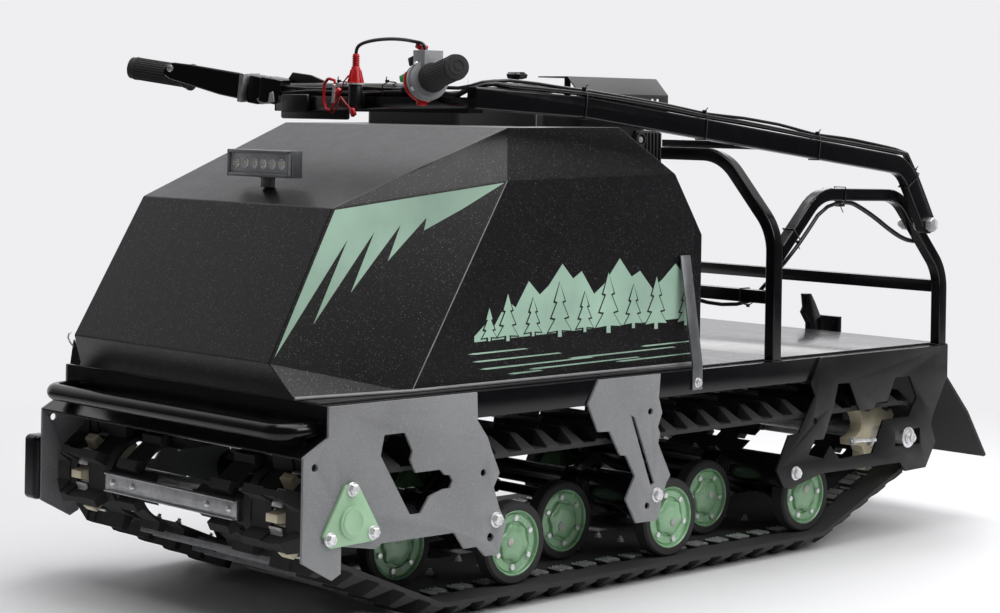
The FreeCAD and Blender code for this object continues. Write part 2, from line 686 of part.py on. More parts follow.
def sprocket(x, y, z):
    """A moulded drive wheel whose teeth reach through the track's windows."""
    radius, teeth, phase = drive_radius(), int(dim("teeth")), tooth_phase(dim(y), dim(z))
    profile = ((-0.34, -9), (-0.17, -1), (-0.09, 15), (0.09, 15), (0.17, -1), (0.34, -9))
    points = []
    for tooth in range(teeth):
        for share, reach in profile:
            angle = phase + (tooth + share) * 2 * math.pi / teeth
            points.append((dim(y) + (radius + reach) * math.cos(angle),
                           dim(z) + (radius + reach) * math.sin(angle)))
    return sheet_part("yz", x, points, "window_wide - 6", (), [(dim(y), dim(z), dim("shaft_rad"))])


def axles():
    """Drive axle and rear axle with their sprockets and bearings."""
    keep(rod("x", "-plate_outer", "drive_y", "drive_z", "shaft_rad", "2 * plate_outer"), "drive_axle")
    keep(rod("x", "-(plate_outer + 6)", "tail_y", "tail_z", "shaft_rad", "2 * (plate_outer + 6)"),
         "rear_axle")
    places = ["window_in + 3", "-(window_in + window_wide - 3)"]
    wheels = [sprocket(x, y, z) for y, z in (("drive_y", "drive_z"), ("tail_y", "tail_z")) for x in places]
    keep(together(*wheels), "sprockets")
    y, z = dim("drive_y"), dim("drive_z")
    edge = [(y - 11, z + 48), (y + 10, z + 48), (y + 48, z - 14), (y + 47, z - 22), (y + 38, z - 29),
            (y - 35, z - 31), (y - 47, z - 13)]
    cover = sheet_part("yz", "plate_outer", edge, "5")
    dome = rod("x", "plate_outer + 5", "drive_y", "drive_z", "21", "4")
    keep(fuse(cover, dome), "bearing_cover")
    case = box("-(plate_outer + 34)", "drive_y - 86", "drive_z - 46", "34", "172", "94")
    keep(rounded(case, 8), "chain_case")


def bogie(number, alias):
    """A rocking wheel carrier: pivot tube with its spring seats, plate arms and two wheel axles."""
    floor = "(lug_high + belt_thick + wheel_rad)"
    span = "plate_outer - plate_thick"
    pivot = rod("x", f"-({span})", alias, "pivot_z", "17", f"2 * ({span})")
    lead, trail = f"{alias} - lead_arm", f"{alias} + trail_arm"
    inner = rod("x", "3 - wheel_in_face", lead, floor, "axle_rad", "2 * (wheel_in_face - 3)")
    outer = rod("x", "3 - wheel_out_face", trail, floor, "axle_rad", "2 * (wheel_out_face - 3)")
    y, z = dim(alias), dim("pivot_z")
    ahead, behind = y - dim("lead_arm"), y + dim("trail_arm")
    axle_z = dim("lug_high") + dim("belt_thick") + dim("wheel_rad")
    low, high = axle_z - 13, axle_z + 6
    rocker = [(y - 22, z + 2), (ahead - 13, high), (ahead - 10, low), (ahead + 12, low), (y, z - 32),
              (behind - 14, low), (behind + 10, low), (behind + 14, high), (y + 22, z + 2), (y + 8, z + 21),
              (y - 8, z + 21)]
    trailer = [(y - 22, z + 2), (y - 8, z - 20), (behind - 14, low), (behind + 10, low),
               (behind + 14, high), (y + 22, z + 2), (y + 8, z + 21), (y - 8, z + 21)]
    arms = [sheet_part("yz", x, profile, "8")
            for x, profile in (("wheel_in_face - 56", rocker), ("48 - wheel_in_face", rocker),
                               ("wheel_out_face - 56", trailer), ("48 - wheel_out_face", trailer))]
    sleeve = rod("x", "wheel_in_face + 12", alias, "pivot_z", "26", f"{span} - wheel_in_face - 15")
    keep(fuse(pivot, inner, outer, sleeve, mirrored(sleeve), *arms), f"bogie_{number}")


def wheel_places():
    """Where the twelve road wheels stand: outer face, axle and whether the wheel looks to the left."""
    places = []
    for alias in ("pivot_a_y", "pivot_b_y", "pivot_c_y"):
        places.append((dim("wheel_in_face"), dim(alias) - dim("lead_arm")))
        places.append((dim("wheel_out_face"), dim(alias) + dim("trail_arm")))
    return [(side * face, y, side < 0) for face, y in places for side in (1, -1)]


def road_wheels():
    """Stamped wheel discs with moulded tyres, and the coil springs round the bogie pivots."""
    rim, tread, wide = dim("wheel_rad") - dim("tyre_deep"), dim("wheel_rad") - 0.3, dim("wheel_wide")
    hole = dim("axle_rad") + 0.15
    disc = turned([(-22, hole), (-1, hole), (-1, 15), (-9, rim - 16), (-4, rim - 8), (-4, rim),
                   (-19, rim), (-19, rim - 3), (-8, rim - 4), (-12.5, rim - 15), (-22, 16)])
    tyre = turned([(-wide + 1, rim), (-1, rim), (0, rim + 1.5), (0, tread - 3), (-3, tread),
                   (-wide + 3, tread), (-wide, tread - 3), (-wide, rim + 1.5)])
    doc.recompute()
    z = dim("lug_high") + dim("belt_thick") + dim("wheel_rad")
    keep(together(*[copy_at(disc, x, y, z, flip) for x, y, flip in wheel_places()]), "wheel_discs")
    keep(together(*[copy_at(tyre, x, y, z, flip) for x, y, flip in wheel_places()]), "tyres")

    seat, crest, coil, coils = 17.2, 21.5, 6.6, 5
    profile = [(0, seat)]
    for turn in range(coils):
        profile += [(-(turn + 0.5) * coil, crest), (-(turn + 1) * coil, seat + 1.5)]
    profile[-1] = (-coils * coil, seat)
    spring = turned(profile)
    doc.recompute()
    end = dim("wheel_in_face") + 10
    keep(together(*[copy_at(spring, side * end, dim(alias), dim("pivot_z"), side < 0)
                    for alias in ("pivot_a_y", "pivot_b_y", "pivot_c_y") for side in (1, -1)]),
         "bogie_springs")


def running_gear():
    """The three bogies with their wheels and springs."""
    for number, alias in (("front", "pivot_a_y"), ("middle", "pivot_b_y"), ("rear", "pivot_c_y")):
        bogie(number, alias)
    road_wheels()


# ---------------------------------------------------------------- engine and hood
def engine():
    """Engine block with its tank, air filter and shielded muffler standing above the hood."""
    keep(box("-170", "-220", "rail_top + deck_thick", "300", "290", "295"), "engine_block")
    tank = rounded(box("-205", "-233", "rail_top + 298", "215", "180", "99"), 14)
    cap = rod("z", "-120", "-140", "rail_top + 396", "24", "14")
    keep(fuse(tank, cap), "fuel_tank")
    housing = rod("z", "-137", "35", "rail_top + 298", "66", "112")
    lid = rod("z", "-137", "35", "rail_top + 410", "60", "12")
    stud = rod("z", "-137", "35", "rail_top + 422", "5", "22")
    wing = box("-153", "31", "rail_top + 437", "32", "8", "11")
    keep(fuse(housing, lid, stud, wing), "air_filter")
    can = rounded(box("45", "-95", "rail_top + 298", "80", "170", "106"), 20)
    keep(can, "muffler")
    long_y, base = (-110, 91), dim("rail_top") + 372
    rise, lean, sheet_thick = 66, 26, 2
    outer = [(150, base), (150, base + rise - lean), (150 - lean, base + rise), (60, base + rise)]
    under = [(60, base + rise - sheet_thick), (149 - lean, base + rise - sheet_thick),
             (150 - sheet_thick, base + rise - lean - 1), (150 - sheet_thick, base)]
    shield = sheet_part("xz", str(-long_y[1]), outer + under, str(long_y[1] - long_y[0]))
    slots = [box("140", str(y), str(base + 22), "20", "6", "12") for y in (52, 64)]
    posts = [rod("z", "85", str(y), "rail_top + 404", "5", "33") for y in (-70, 50)]
    keep(fuse(cut(shield, *slots), *posts), "muffler_shield")


def hood():
    """Faceted sheet hood, open below and behind, with a large opening over the engine."""
    lip = dim("hood_z")
    thick = dim("hood_sheet")
    half = dim("hood_half")
    near = {
        "lip_front": (half - 28, -730, lip), "nose": (half - 49, -757, 363), "brow": (half - 58, -647, 562),
        "ridge_front": (half - 25, -358, 672), "ridge_rear": (half - 25, -126, 674),
        "crease_front": (half - 7, -373, 598), "crease_rear": (half - 9, -19, 605),
        "lip_mid": (half, -550, lip), "lip_rear": (half - 5, 40, lip), "rear_mid": (half - 5, 40, 512),
    }
    far = {name: (-x, y, z) for name, (x, y, z) in near.items()}
    def panel(*corners):
        return Part.Face(Part.makePolygon([Vector(*c) for c in corners] + [Vector(*corners[0])]))
    def triangles(corners):
        return [panel(corners[0], corners[i], corners[i + 1]) for i in range(1, len(corners) - 1)]
    sides = [
        ["lip_front", "nose", "lip_mid"],
        ["nose", "brow", "lip_mid"], ["brow", "crease_front", "lip_mid"],
        ["crease_front", "crease_rear", "rear_mid", "lip_rear", "lip_mid"],
        ["brow", "ridge_front", "crease_front"],
        ["ridge_front", "ridge_rear", "crease_rear", "crease_front"],
    ]
    faces = []
    for names in sides:
        for group in (near, far):
            faces += triangles([group[name] for name in names])
    for low, high in (("lip_front", "nose"), ("nose", "brow"), ("brow", "ridge_front"),
                      ("ridge_front", "ridge_rear")):
        faces += triangles([near[low], near[high], far[high], far[low]])
    for low, high in (("ridge_rear", "crease_rear"), ("crease_rear", "rear_mid"), ("rear_mid", "lip_rear")):
        faces += triangles([near[low], near[high], far[high], far[low]])
    faces += triangles([near["lip_front"], near["lip_mid"], near["lip_rear"], far["lip_rear"],
                        far["lip_mid"], far["lip_front"]])
    outer = Part.makeSolid(Part.makeShell(faces))
    if outer.Volume < 0:
        outer.reverse()
    middle = Vector(0, -350, 0)
    inner = outer.copy()
    scale = FreeCAD.Matrix()
    scale.move(-middle)
    scale.scale(Vector(1 - thick / 265, 1 - thick / 380, 1 - thick / 640))
    scale.move(middle)
    inner = inner.transformGeometry(scale)
    back = Part.makeBox(800, 200, 800, Vector(-400, 20, 200))
    top = Part.makeBox(2 * half - 160, 500, 200, Vector(50 - half, -245, 560))
    rear = Part.makeBox(2 * half - 80, 200, 500, Vector(40 - half, -100, lip - 1))
    shell = outer.cut([inner, back, top, rear])
    keep(feature(shell), "hood")


def lamp():
    """LED bar lamp on the hood's brow."""
    body = box("-70", "-617", "600", "140", "28", "32")
    foot = box("-12", "-600", "583.3", "24", "8", "17")
    keep(fuse(body, foot), "lamp")


def hold_downs():
    """Straps that hold the hood's rear corners to the rails."""
    out, half = dim("plate_outer") - dim("plate_thick"), dim("hood_half")
    edge = [(out + 0.3, 282), (out + 3.3, 282), (out + 3.3, 320), (half, 482), (half - 3, 482),
            (out + 0.3, 318)]
    strap = sheet_part("xz", "-8", edge, "22")
    keep_pair(strap, "hood_straps")


# ---------------------------------------------------------------- handle
def hinge_bolt():
    """Bolt through the near arch that the handle turns on, with its spacer and nuts."""
    inner, outer = "(frame_half - tube_side / 2)", "(frame_half + tube_side / 2)"
    arm_out = "(arm_in + arm_wide)"
    shank = rod("x", inner + " - 16", "hinge_y", "hinge_z", "bolt_rad", arm_out + " - " + inner + " + 24")
    nut = hexagon(inner + " - 10", "hinge_y", "hinge_z", "11", "10")
    spacer = rod("x", outer, "hinge_y", "hinge_z", "12", "arm_in - " + outer + " - 0.3")
    head = hexagon(arm_out + " + 0.3", "hinge_y", "hinge_z", "12", "10")
    keep(fuse(shank, nut, spacer, head), "hinge_bolt")


BAR_BEND = 150


def bar_point(x):
    """The handlebar's centre line at a distance from the middle plane."""
    share = max(0.0, (abs(x) - BAR_BEND) / (dim("bar_half") - BAR_BEND))
    return Vector(x, dim("bar_mid_y") + share * (dim("bar_end_y") - dim("bar_mid_y")),
                  dim("bar_mid_z") + share * (dim("bar_end_z") - dim("bar_mid_z")))


def on_bar(first_x, last_x, radius):
    """A cylinder round the handlebar between two distances from the middle plane."""
    start, end = bar_point(first_x), bar_point(last_x)
    return feature(Part.makeCylinder(radius, (end - start).Length, start, end - start))


def handle():
    """Handle folded forward over the hood: one arm, its cross tube and the handlebar."""
    y, z, high = dim("hinge_y"), dim("hinge_z"), dim("arm_high")
    arm_x = dim("arm_in") + dim("arm_wide") / 2
    front_y = dim("bar_mid_y") - 23
    arm = bent_bar([(arm_x, y, z), (arm_x, y - 65, z + 98), (arm_x, y - 823, z + 184),
                    (arm_x, front_y, z + 194)], 60, Vector(1, 0, 0), dim("arm_wide"), high)
    boss = rod("x", "arm_in", "hinge_y", "hinge_z", "15", "arm_wide")
    hole = rod("x", "arm_in - 1", "hinge_y", "hinge_z", "bolt_rad + 0.3", "arm_wide + 2")
    cross = box("-108", "bar_mid_y - 23", "bar_mid_z - bar_rad - 19", "arm_in + 109", "30", "22")
    rest_top = dim("hoop_top") + dim("tube_side") / 2 + 0.4
    rest = box("60", "hoop_y - 10", str(rest_top), "arm_in - 59", "20", "12")
    run = [bar_point(x) for x in (dim("bar_half") - 5, BAR_BEND, -BAR_BEND, 5 - dim("bar_half"))]
    keep(bent_tube(run, 60, dim("bar_rad")), "handlebar")
    saddle = bent_tube(run, 60, dim("bar_rad") + 0.1)
    keep(cut(fuse(arm, boss, cross, rest), hole, saddle), "handle_frame")

    half, grip = dim("bar_half"), dim("grip_long")
    core = on_bar(half - grip - 1, half - 5, dim("bar_rad") + 0.1)
    flange = on_bar(half - grip, half - grip + 4, dim("grip_rad") + 4)
    near = cut(fuse(on_bar(half - grip, half, dim("grip_rad")), flange), core)
    keep_pair(near, "grips")


def hand_controls():
    """Throttle housing, far side lever, stop switch with its cap, and the cap's cord."""
    grip_start = dim("bar_half") - dim("grip_long")
    start, end = grip_start - 31, grip_start - 5
    drum = on_bar(start, end, 26)
    head = dim("bar_mid_z") + 55
    top = bar_point((start + end) / 2)
    block = feature(Part.makeBox(24, 34, head - top.z, Vector(top.x - 12, top.y - 17, top.z)))
    ring = on_bar(start + 6, start + 14, 28.5)
    bore = on_bar(start - 8, end + 8, dim("bar_rad") + 0.1)
    keep(cut(fuse(drum, block, ring), bore), "throttle")

    root, tip = bar_point(-190), bar_point(-345)
    along = (tip - root).normalize()
    up = (Vector(0, 0, 1) - along * along.z).normalize()
    ahead = along.cross(up)
    blade_shape = [(0, -25), (0, 20), (120, 15), (146, 10), (154, 0), (148, -10), (120, -14)]
    front = [root + along * s + up * h + ahead * (dim("grip_rad") + 5) for s, h in blade_shape]
    blade = feature(Part.Face(Part.makePolygon(front + front[:1])).extrude(ahead * 4))
    clamp = on_bar(-218, -196, 16)
    edge = [root + along * s + up * h + ahead * (dim("bar_rad") - 1)
            for s, h in ((8, -10), (8, 10), (28, 10), (28, -10))]
    reach = ahead * (dim("grip_rad") + 7 - dim("bar_rad"))
    link = feature(Part.Face(Part.makePolygon(edge + edge[:1])).extrude(reach))
    keep(cut(fuse(blade, clamp, link), on_bar(-240, -170, dim("bar_rad") + 0.1)), "side_lever")

    x, y = 88, dim("bar_mid_y") - 35
    low = dim("bar_mid_z") - 26
    barrel = rod("z", str(x), str(y), str(low), "10", "34")
    foot = box(str(x - 8), str(y), str(low), "16", "12", "20")
    keep(fuse(barrel, foot), "stop_switch")
    cap = doc.addObject("Part::Cone", "Cap")
    bind(cap, Radius1=12, Radius2=6, Height=26, Placement__Base__x=x, Placement__Base__y=y,
         Placement__Base__z=low + 34)
    neck = rod("z", str(x), str(y), str(low + 60), "4.5", "18")
    keep(fuse(cap, neck), "stop_cap")
    top_z = low + 78
    route = [(x, y, top_z), (x, y, top_z + 8), (x + 14, y - 1, top_z + 15), (x + 46, y - 4, top_z + 19),
             (x + 85, y - 9, top_z + 20), (x + 122, y - 15, top_z + 18), (x + 146, y - 19, top_z + 15),
             (top.x, top.y - 4, head + 9), (top.x, top.y - 4, head)]
    keep(cord_tube(route, 2.5), "stop_cord")


def throttle_cable():
    """Control cable that hangs free inside the near arch, from one clip to the other."""
    x = dim("frame_half") - dim("tube_side") / 2 - 5
    y, z = dim("hinge_y"), dim("hinge_z")
    route = [(x, y + 44, z - 31), (x, y + 26, z - 31), (x, y - 4, z - 26), (x, y - 42, z - 10),
             (x, y - 84, z + 12), (x, y - 126, z + 30), (x, y - 150, z + 38), (x, y - 170, z + 38)]
    keep(cord_tube(route, 4.0), "throttle_cable")
    clips = [box("frame_half - tube_side / 2 - 10", y_low, z_low, "10", "14", "14")
             for y_low, z_low in (("hinge_y + 44", "hinge_z - 38"), ("hinge_y - 184", "hinge_z + 31"))]
    keep(together(*clips), "cable_clips")


side_rails()
front_plates()
middle_brackets()
rear_plates()
front_panel()
front_bumper()
decks()
hoops()
mud_flap()
tow_hitch()
track()
axles()
running_gear()
engine()
hood()
lamp()
hold_downs()
hinge_bolt()
handle()
hand_controls()
throttle_cable()

doc.recompute()
for obj in doc.Objects:
    if "Invalid" in obj.State or "Error" in obj.State:
        raise RuntimeError(f"{obj.Name} {obj.Label}: {obj.State}")
os.makedirs("parts", exist_ok=True)
for piece in pieces:
    if piece.Shape.isNull() or not piece.Shape.isValid():
        raise RuntimeError(f"{piece.Label}: shape is null or not valid")
    piece.Shape.exportStep(f"parts/{piece.Label}.step")
    solids = len(piece.Shape.Solids)
    print(f"{piece.Label}: {solids} solids, {piece.Shape.Volume / 1000:.0f} cm3")
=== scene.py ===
"""Looks of a compact tracked snow towing vehicle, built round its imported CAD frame.

Lengths are in metres, in the vehicle's own frame: +Z up, its front faces -Y and its left side is +X.
Each sub-assembly is a class that holds its sizes as fields, and each finish is a frozen dataclass.
"""
import json
import logging
import math
from collections.abc import Sequence
from dataclasses import dataclass, field
from enum import Enum

import bmesh
import bpy
from mathutils import Matrix, Vector
from mathutils.bvhtree import BVHTree
from mathutils.geometry import tessellate_polygon


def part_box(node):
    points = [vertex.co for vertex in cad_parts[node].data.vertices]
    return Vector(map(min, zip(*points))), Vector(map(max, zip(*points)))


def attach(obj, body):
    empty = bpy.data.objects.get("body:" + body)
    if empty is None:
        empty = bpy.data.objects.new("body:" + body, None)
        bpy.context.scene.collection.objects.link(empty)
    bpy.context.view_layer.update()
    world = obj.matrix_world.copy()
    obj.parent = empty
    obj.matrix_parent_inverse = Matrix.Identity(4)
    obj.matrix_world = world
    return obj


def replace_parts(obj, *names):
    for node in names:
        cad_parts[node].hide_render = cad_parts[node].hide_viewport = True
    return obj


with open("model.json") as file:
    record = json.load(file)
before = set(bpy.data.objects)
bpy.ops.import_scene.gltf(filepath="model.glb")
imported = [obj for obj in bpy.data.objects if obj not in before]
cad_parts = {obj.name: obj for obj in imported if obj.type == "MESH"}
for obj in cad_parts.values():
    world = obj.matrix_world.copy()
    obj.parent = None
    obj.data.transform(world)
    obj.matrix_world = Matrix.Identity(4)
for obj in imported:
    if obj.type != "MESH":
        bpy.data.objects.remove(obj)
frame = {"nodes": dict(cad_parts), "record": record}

log = logging.getLogger("towing_vehicle")
MM = 0.001
LEFT, REAR, AHEAD, UP = (Vector(way) for way in ((1, 0, 0), (0, 1, 0), (0, -1, 0), (0, 0, 1)))
Colour = tuple[float, float, float]
Profile = Sequence[tuple[float, float]]


class Body(Enum):
    """The moving bodies of the vehicle."""

    CHASSIS = "chassis"
    HANDLE = "handle"


def mm(x: float, y: float, z: float) -> Vector:
    """A point or a size given in millimetres, in metres."""
    return Vector((x, y, z)) * MM


def route(*points: tuple[float, float, float]) -> list[Vector]:
    """A line's points given in millimetres, in metres."""
    return [mm(*point) for point in points]


def in_mm(*points: tuple[float, float]) -> list[tuple[float, float]]:
    """A profile's points given in millimetres, in metres."""
    return [(first * MM, second * MM) for first, second in points]


def circle(count: int, turn: float = 0.0) -> list[tuple[float, float]]:
    """The cosine and the sine of each of so many even steps round a circle."""
    angles = [turn + 2 * math.pi * step / count for step in range(count)]
    return [(math.cos(angle), math.sin(angle)) for angle in angles]


def square_to(way: Vector) -> tuple[Vector, Vector]:
    """Two ways square to a way and to each other."""
    across = way.orthogonal().normalized()
    return across, way.cross(across)


def facing(way: Vector, line: Vector) -> Vector:
    """The part of a way that is square to a line, at length one."""
    return (way - line * way.dot(line)).normalized()


def put(name: str, data: bpy.types.ID) -> bpy.types.Object:
    """Make an object and link it to the scene.

    Args:
        name: the object's name.
        data: its mesh, curve, lamp or camera.

    Returns:
        The object.
    """
    made = bpy.data.objects.new(name, data)
    bpy.context.scene.collection.objects.link(made)
    return made


def middle(node: str) -> Vector:
    """The centre of a CAD node's box."""
    low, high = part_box(node)
    return (low + high) / 2


def islands(node: str) -> list[tuple[Vector, Vector]]:
    """Find a CAD node's separate solids.

    Args:
        node: the node's name.

    Returns:
        The lowest and highest corner of each solid, in the order of its first vertex.
    """
    mesh = bmesh.new()
    mesh.from_mesh(frame["nodes"][node].data)
    bmesh.ops.remove_doubles(mesh, verts=mesh.verts, dist=0.02 * MM)
    mesh.verts.ensure_lookup_table()
    seen: set[bmesh.types.BMVert] = set()
    boxes = []
    for start in mesh.verts:
        if start in seen:
            continue
        group, front = {start}, [start]
        while front:
            for edge in front.pop().link_edges:
                fresh = {vert for vert in edge.verts if vert not in group}
                group |= fresh
                front += fresh
        seen |= group
        places = [vert.co for vert in group]
        boxes.append((Vector(map(min, zip(*places))), Vector(map(max, zip(*places)))))
    mesh.free()
    return boxes


# ---------------------------------------------------------------- finishes
class Graph:
    """A node tree, with a short way to lay it out."""

    def __init__(self, tree: bpy.types.NodeTree) -> None:
        """Take up a tree."""
        self.tree = tree

    def add(self, kind: str, inputs: dict[str | int, object], result: str | int = 0,
            **settings: object) -> bpy.types.NodeSocket:
        """Add a node.

        Args:
            kind: the node's type.
            inputs: a number or another node's output for each input that isn't left as it is.
            result: which of its outputs is wanted.
            settings: the node's own settings.

        Returns:
            The wanted output.
        """
        node = self.tree.nodes.new(kind)
        for name, setting in settings.items():
            setattr(node, name, setting)
        for name, value in inputs.items():
            if isinstance(value, bpy.types.NodeSocket):
                self.tree.links.new(value, node.inputs[name])
            else:
                node.inputs[name].default_value = value
        return node.outputs[result]

    def spread(self, value: bpy.types.NodeSocket, source: tuple[float, float],
               target: tuple[float, float] = (0.0, 1.0), **settings: str) -> bpy.types.NodeSocket:
        """Stretch a value from one range to another, and hold it there.

        Args:
            value: the value's socket.
            source: the range that is read.
            target: the range that it becomes.
            settings: the stretching node's own settings.

        Returns:
            The stretched value.
        """
        limits = dict(zip(("From Min", "From Max", "To Min", "To Max"), (*source, *target)))
        return self.add("ShaderNodeMapRange", {"Value": value, **limits}, "Result", **settings)


class Surface(Graph):
    """A material's node tree round its shader."""

    # A mixing node's colour sockets share their names with its other sockets, so they go by place:
    # the first colour in, the second colour in, and the result.
    colour_sockets: tuple[int, int, int] = (6, 7, 2)

    def __init__(self, name: str) -> None:
        """Start a material.

        Args:
            name: the material's name.
        """
        self.material = bpy.data.materials.new(name)
        self.material.use_nodes = True
        super().__init__(self.material.node_tree)
        self.shader = self.tree.nodes["Principled BSDF"]
        self.place = self.add("ShaderNodeTexCoord", {}, "Object")

    def fix(self, **numbers: float | tuple) -> None:
        """Set numbers that are the same all over on the shader's own sockets, named with underscores."""
        for name, number in numbers.items():
            self.shader.inputs[name.replace("_", " ")].default_value = number

    def link(self, source: bpy.types.NodeSocket, name: str) -> None:
        """Join a node's output to one of the shader's sockets."""
        self.tree.links.new(source, self.shader.inputs[name])

    def noise(self, scale: float, detail: float = 3.0, stretch: Colour | None = None) -> bpy.types.NodeSocket:
        """Lay a cloudy noise.

        Args:
            scale: clouds per metre.
            detail: how many finer layers it has.
            stretch: a scale of its own for each axis.

        Returns:
            The noise, round 0.5.
        """
        place = self.place
        if stretch:
            place = self.add("ShaderNodeMapping", {"Vector": place, "Scale": stretch})
        return self.add("ShaderNodeTexNoise", {"Vector": place, "Scale": scale, "Detail": detail}, "Fac")

    def cells(self, scale: float) -> bpy.types.NodeSocket:
        """A random value for each small cell, with so many cells a metre."""
        cell = self.add("ShaderNodeTexVoronoi", {"Vector": self.place, "Scale": scale}, "Color")
        return self.add("ShaderNodeSeparateColor", {"Color": cell}, "Red")

    def mix(self, share: bpy.types.NodeSocket, first: Colour | bpy.types.NodeSocket,
            second: Colour | bpy.types.NodeSocket) -> bpy.types.NodeSocket:
        """Mix two colours.

        Args:
            share: how much of the second there is.
            first: a colour, or a socket that gives one.
            second: a colour, or a socket that gives one.

        Returns:
            The mixed colour.
        """
        below, above, result = self.colour_sockets
        colours = [(*colour, 1.0) if isinstance(colour, tuple) else colour for colour in (first, second)]
        return self.add("ShaderNodeMix", {"Factor": share, below: colours[0], above: colours[1]}, result,
                        data_type="RGBA")

    def relief(self, height: bpy.types.NodeSocket, depth: float, strength: float = 1.0) -> None:
        """Raise the surface by a height.

        Args:
            height: the height's socket, from nought to one.
            depth: how far one is, in metres.
            strength: how much of it shows.
        """
        inputs = {"Strength": strength, "Distance": depth, "Height": height}
        before = self.shader.inputs["Normal"]
        if before.is_linked:
            inputs["Normal"] = before.links[0].from_socket
        self.link(self.add("ShaderNodeBump", inputs), "Normal")


def tint(colour: Colour, factor: float) -> Colour:
    """A colour made lighter or darker."""
    return tuple(min(1.0, part * factor) for part in colour)


@dataclass(frozen=True)
class Finish:
    """A surface: its name, its colour and how rough it is."""

    name: str
    colour: Colour
    rough: float = 0.5

    def material(self) -> bpy.types.Material:
        """The finish as a material, which is made once."""
        found = bpy.data.materials.get(self.name)
        return found or self.make()

    def make(self) -> bpy.types.Material:
        """Lay out the material's nodes.

        Returns:
            The new material.
        """
        surface = Surface(self.name)
        self.lay(surface)
        return surface.material

    def lay(self, surface: Surface) -> None:
        """Lay out this kind of surface."""
        raise NotImplementedError


@dataclass(frozen=True)
class PowderCoat(Finish):
    """Baked powder paint: an orange-peel skin, faint clouds, and flakes whose lighter colour is a painted glint
    where it sparkles.
    """

    peel: float = 700.0
    depth: float = 0.15 * MM
    shine: float = 0.4
    flakes: float = 0.0
    flake_size: float = 0.8 * MM
    flake_glint_colour: Colour = (0.55, 0.55, 0.56)
    scuffed: float = 0.16

    def lay(self, surface: Surface) -> None:
        """Lay out the paint.

        Args:
            surface: the material's nodes.
        """
        clouds = surface.spread(surface.noise(7.0, 5.0), (0.3, 0.7))
        colour = surface.mix(clouds, tint(self.colour, 0.82), tint(self.colour, 1.16))
        # The flakes are mixed into the base colour as lighter specks: painted glints.
        if self.flakes:
            painted_glints = surface.spread(surface.cells(1 / self.flake_size), (1 - self.flakes, 1.0))
            colour = surface.mix(painted_glints, colour, self.flake_glint_colour)
        surface.link(colour, "Base Color")
        scuffs = surface.noise(38.0, 4.0)
        worn = (self.rough * (1 - self.scuffed), self.rough * (1 + self.scuffed))
        surface.link(surface.spread(scuffs, (0.35, 0.75), worn), "Roughness")
        surface.fix(Specular_IOR_Level=self.shine)
        surface.relief(surface.noise(self.peel, 2.0), self.depth)


@dataclass(frozen=True)
class Rubber(Finish):
    """Moulded rubber: matt, with dust in soft patches and a fine skin."""

    dust: Colour = (0.16, 0.155, 0.15)
    dusty: float = 0.35
    grain: float = 900.0

    def lay(self, surface: Surface) -> None:
        """Lay out the rubber.

        Args:
            surface: the material's nodes.
        """
        patches = surface.spread(surface.noise(24.0, 6.0), (0.45, 0.8), (0.0, self.dusty))
        surface.link(surface.mix(patches, self.colour, self.dust), "Base Color")
        surface.link(surface.spread(surface.noise(60.0), (0.3, 0.7),
                                    (self.rough * 0.85, self.rough * 1.1)), "Roughness")
        surface.fix(Specular_IOR_Level=0.35)
        surface.relief(surface.noise(self.grain, 4.0), 0.25 * MM)
        surface.relief(surface.noise(90.0, 3.0), 0.5 * MM, 0.5)


@dataclass(frozen=True)
class Metal(Finish):
    """Bare or plated steel: cloudy gloss, crystals in the plating and fine scratches."""

    crystals: float = 0.0
    scratches: float = 0.15
    solid: float = 1.0

    def lay(self, surface: Surface) -> None:
        """Lay out the metal.

        Args:
            surface: the material's nodes.
        """
        clouds = surface.spread(surface.noise(45.0, 5.0), (0.3, 0.7))
        colour = surface.mix(clouds, tint(self.colour, 0.8), tint(self.colour, 1.1))
        if self.crystals:
            colour = surface.mix(surface.spread(surface.cells(160.0), (0.0, 1.0), (0.0, self.crystals)),
                                 colour, tint(self.colour, 1.5))
        surface.link(colour, "Base Color")
        surface.fix(Metallic=self.solid)
        streaks = surface.noise(300.0, 4.0, (0.08, 1.0, 1.0))
        surface.link(surface.spread(streaks, (0.3, 0.75), (self.rough * 0.75, self.rough * 1.3)),
                     "Roughness")
        surface.relief(streaks, 0.06 * MM, self.scratches)


@dataclass(frozen=True)
class Plastic(Finish):
    """Moulded plastic: even colour with faint flow marks and a fine grain."""

    grain: float = 1500.0
    depth: float = 0.05 * MM

    def lay(self, surface: Surface) -> None:
        """Lay out the plastic.

        Args:
            surface: the material's nodes.
        """
        flow = surface.spread(surface.noise(30.0, 4.0), (0.3, 0.7))
        surface.link(surface.mix(flow, tint(self.colour, 0.86), tint(self.colour, 1.08)), "Base Color")
        surface.link(surface.spread(surface.noise(110.0), (0.3, 0.7),
                                    (self.rough * 0.85, self.rough * 1.15)), "Roughness")
        surface.relief(surface.noise(self.grain, 2.0), self.depth)


@dataclass(frozen=True)
class Diode(Finish):
    """The yellow chip of a light-emitting diode, unlit, under a glossy bead."""

    def lay(self, surface: Surface) -> None:
        """Lay out the chip.

        Args:
            surface: the material's nodes.
        """
        spots = surface.spread(surface.cells(1200.0), (0.0, 1.0))
        surface.link(surface.mix(spots, self.colour, tint(self.colour, 0.7)), "Base Color")
        surface.fix(Coat_Weight=1.0, Coat_Roughness=0.05, Roughness=self.rough)
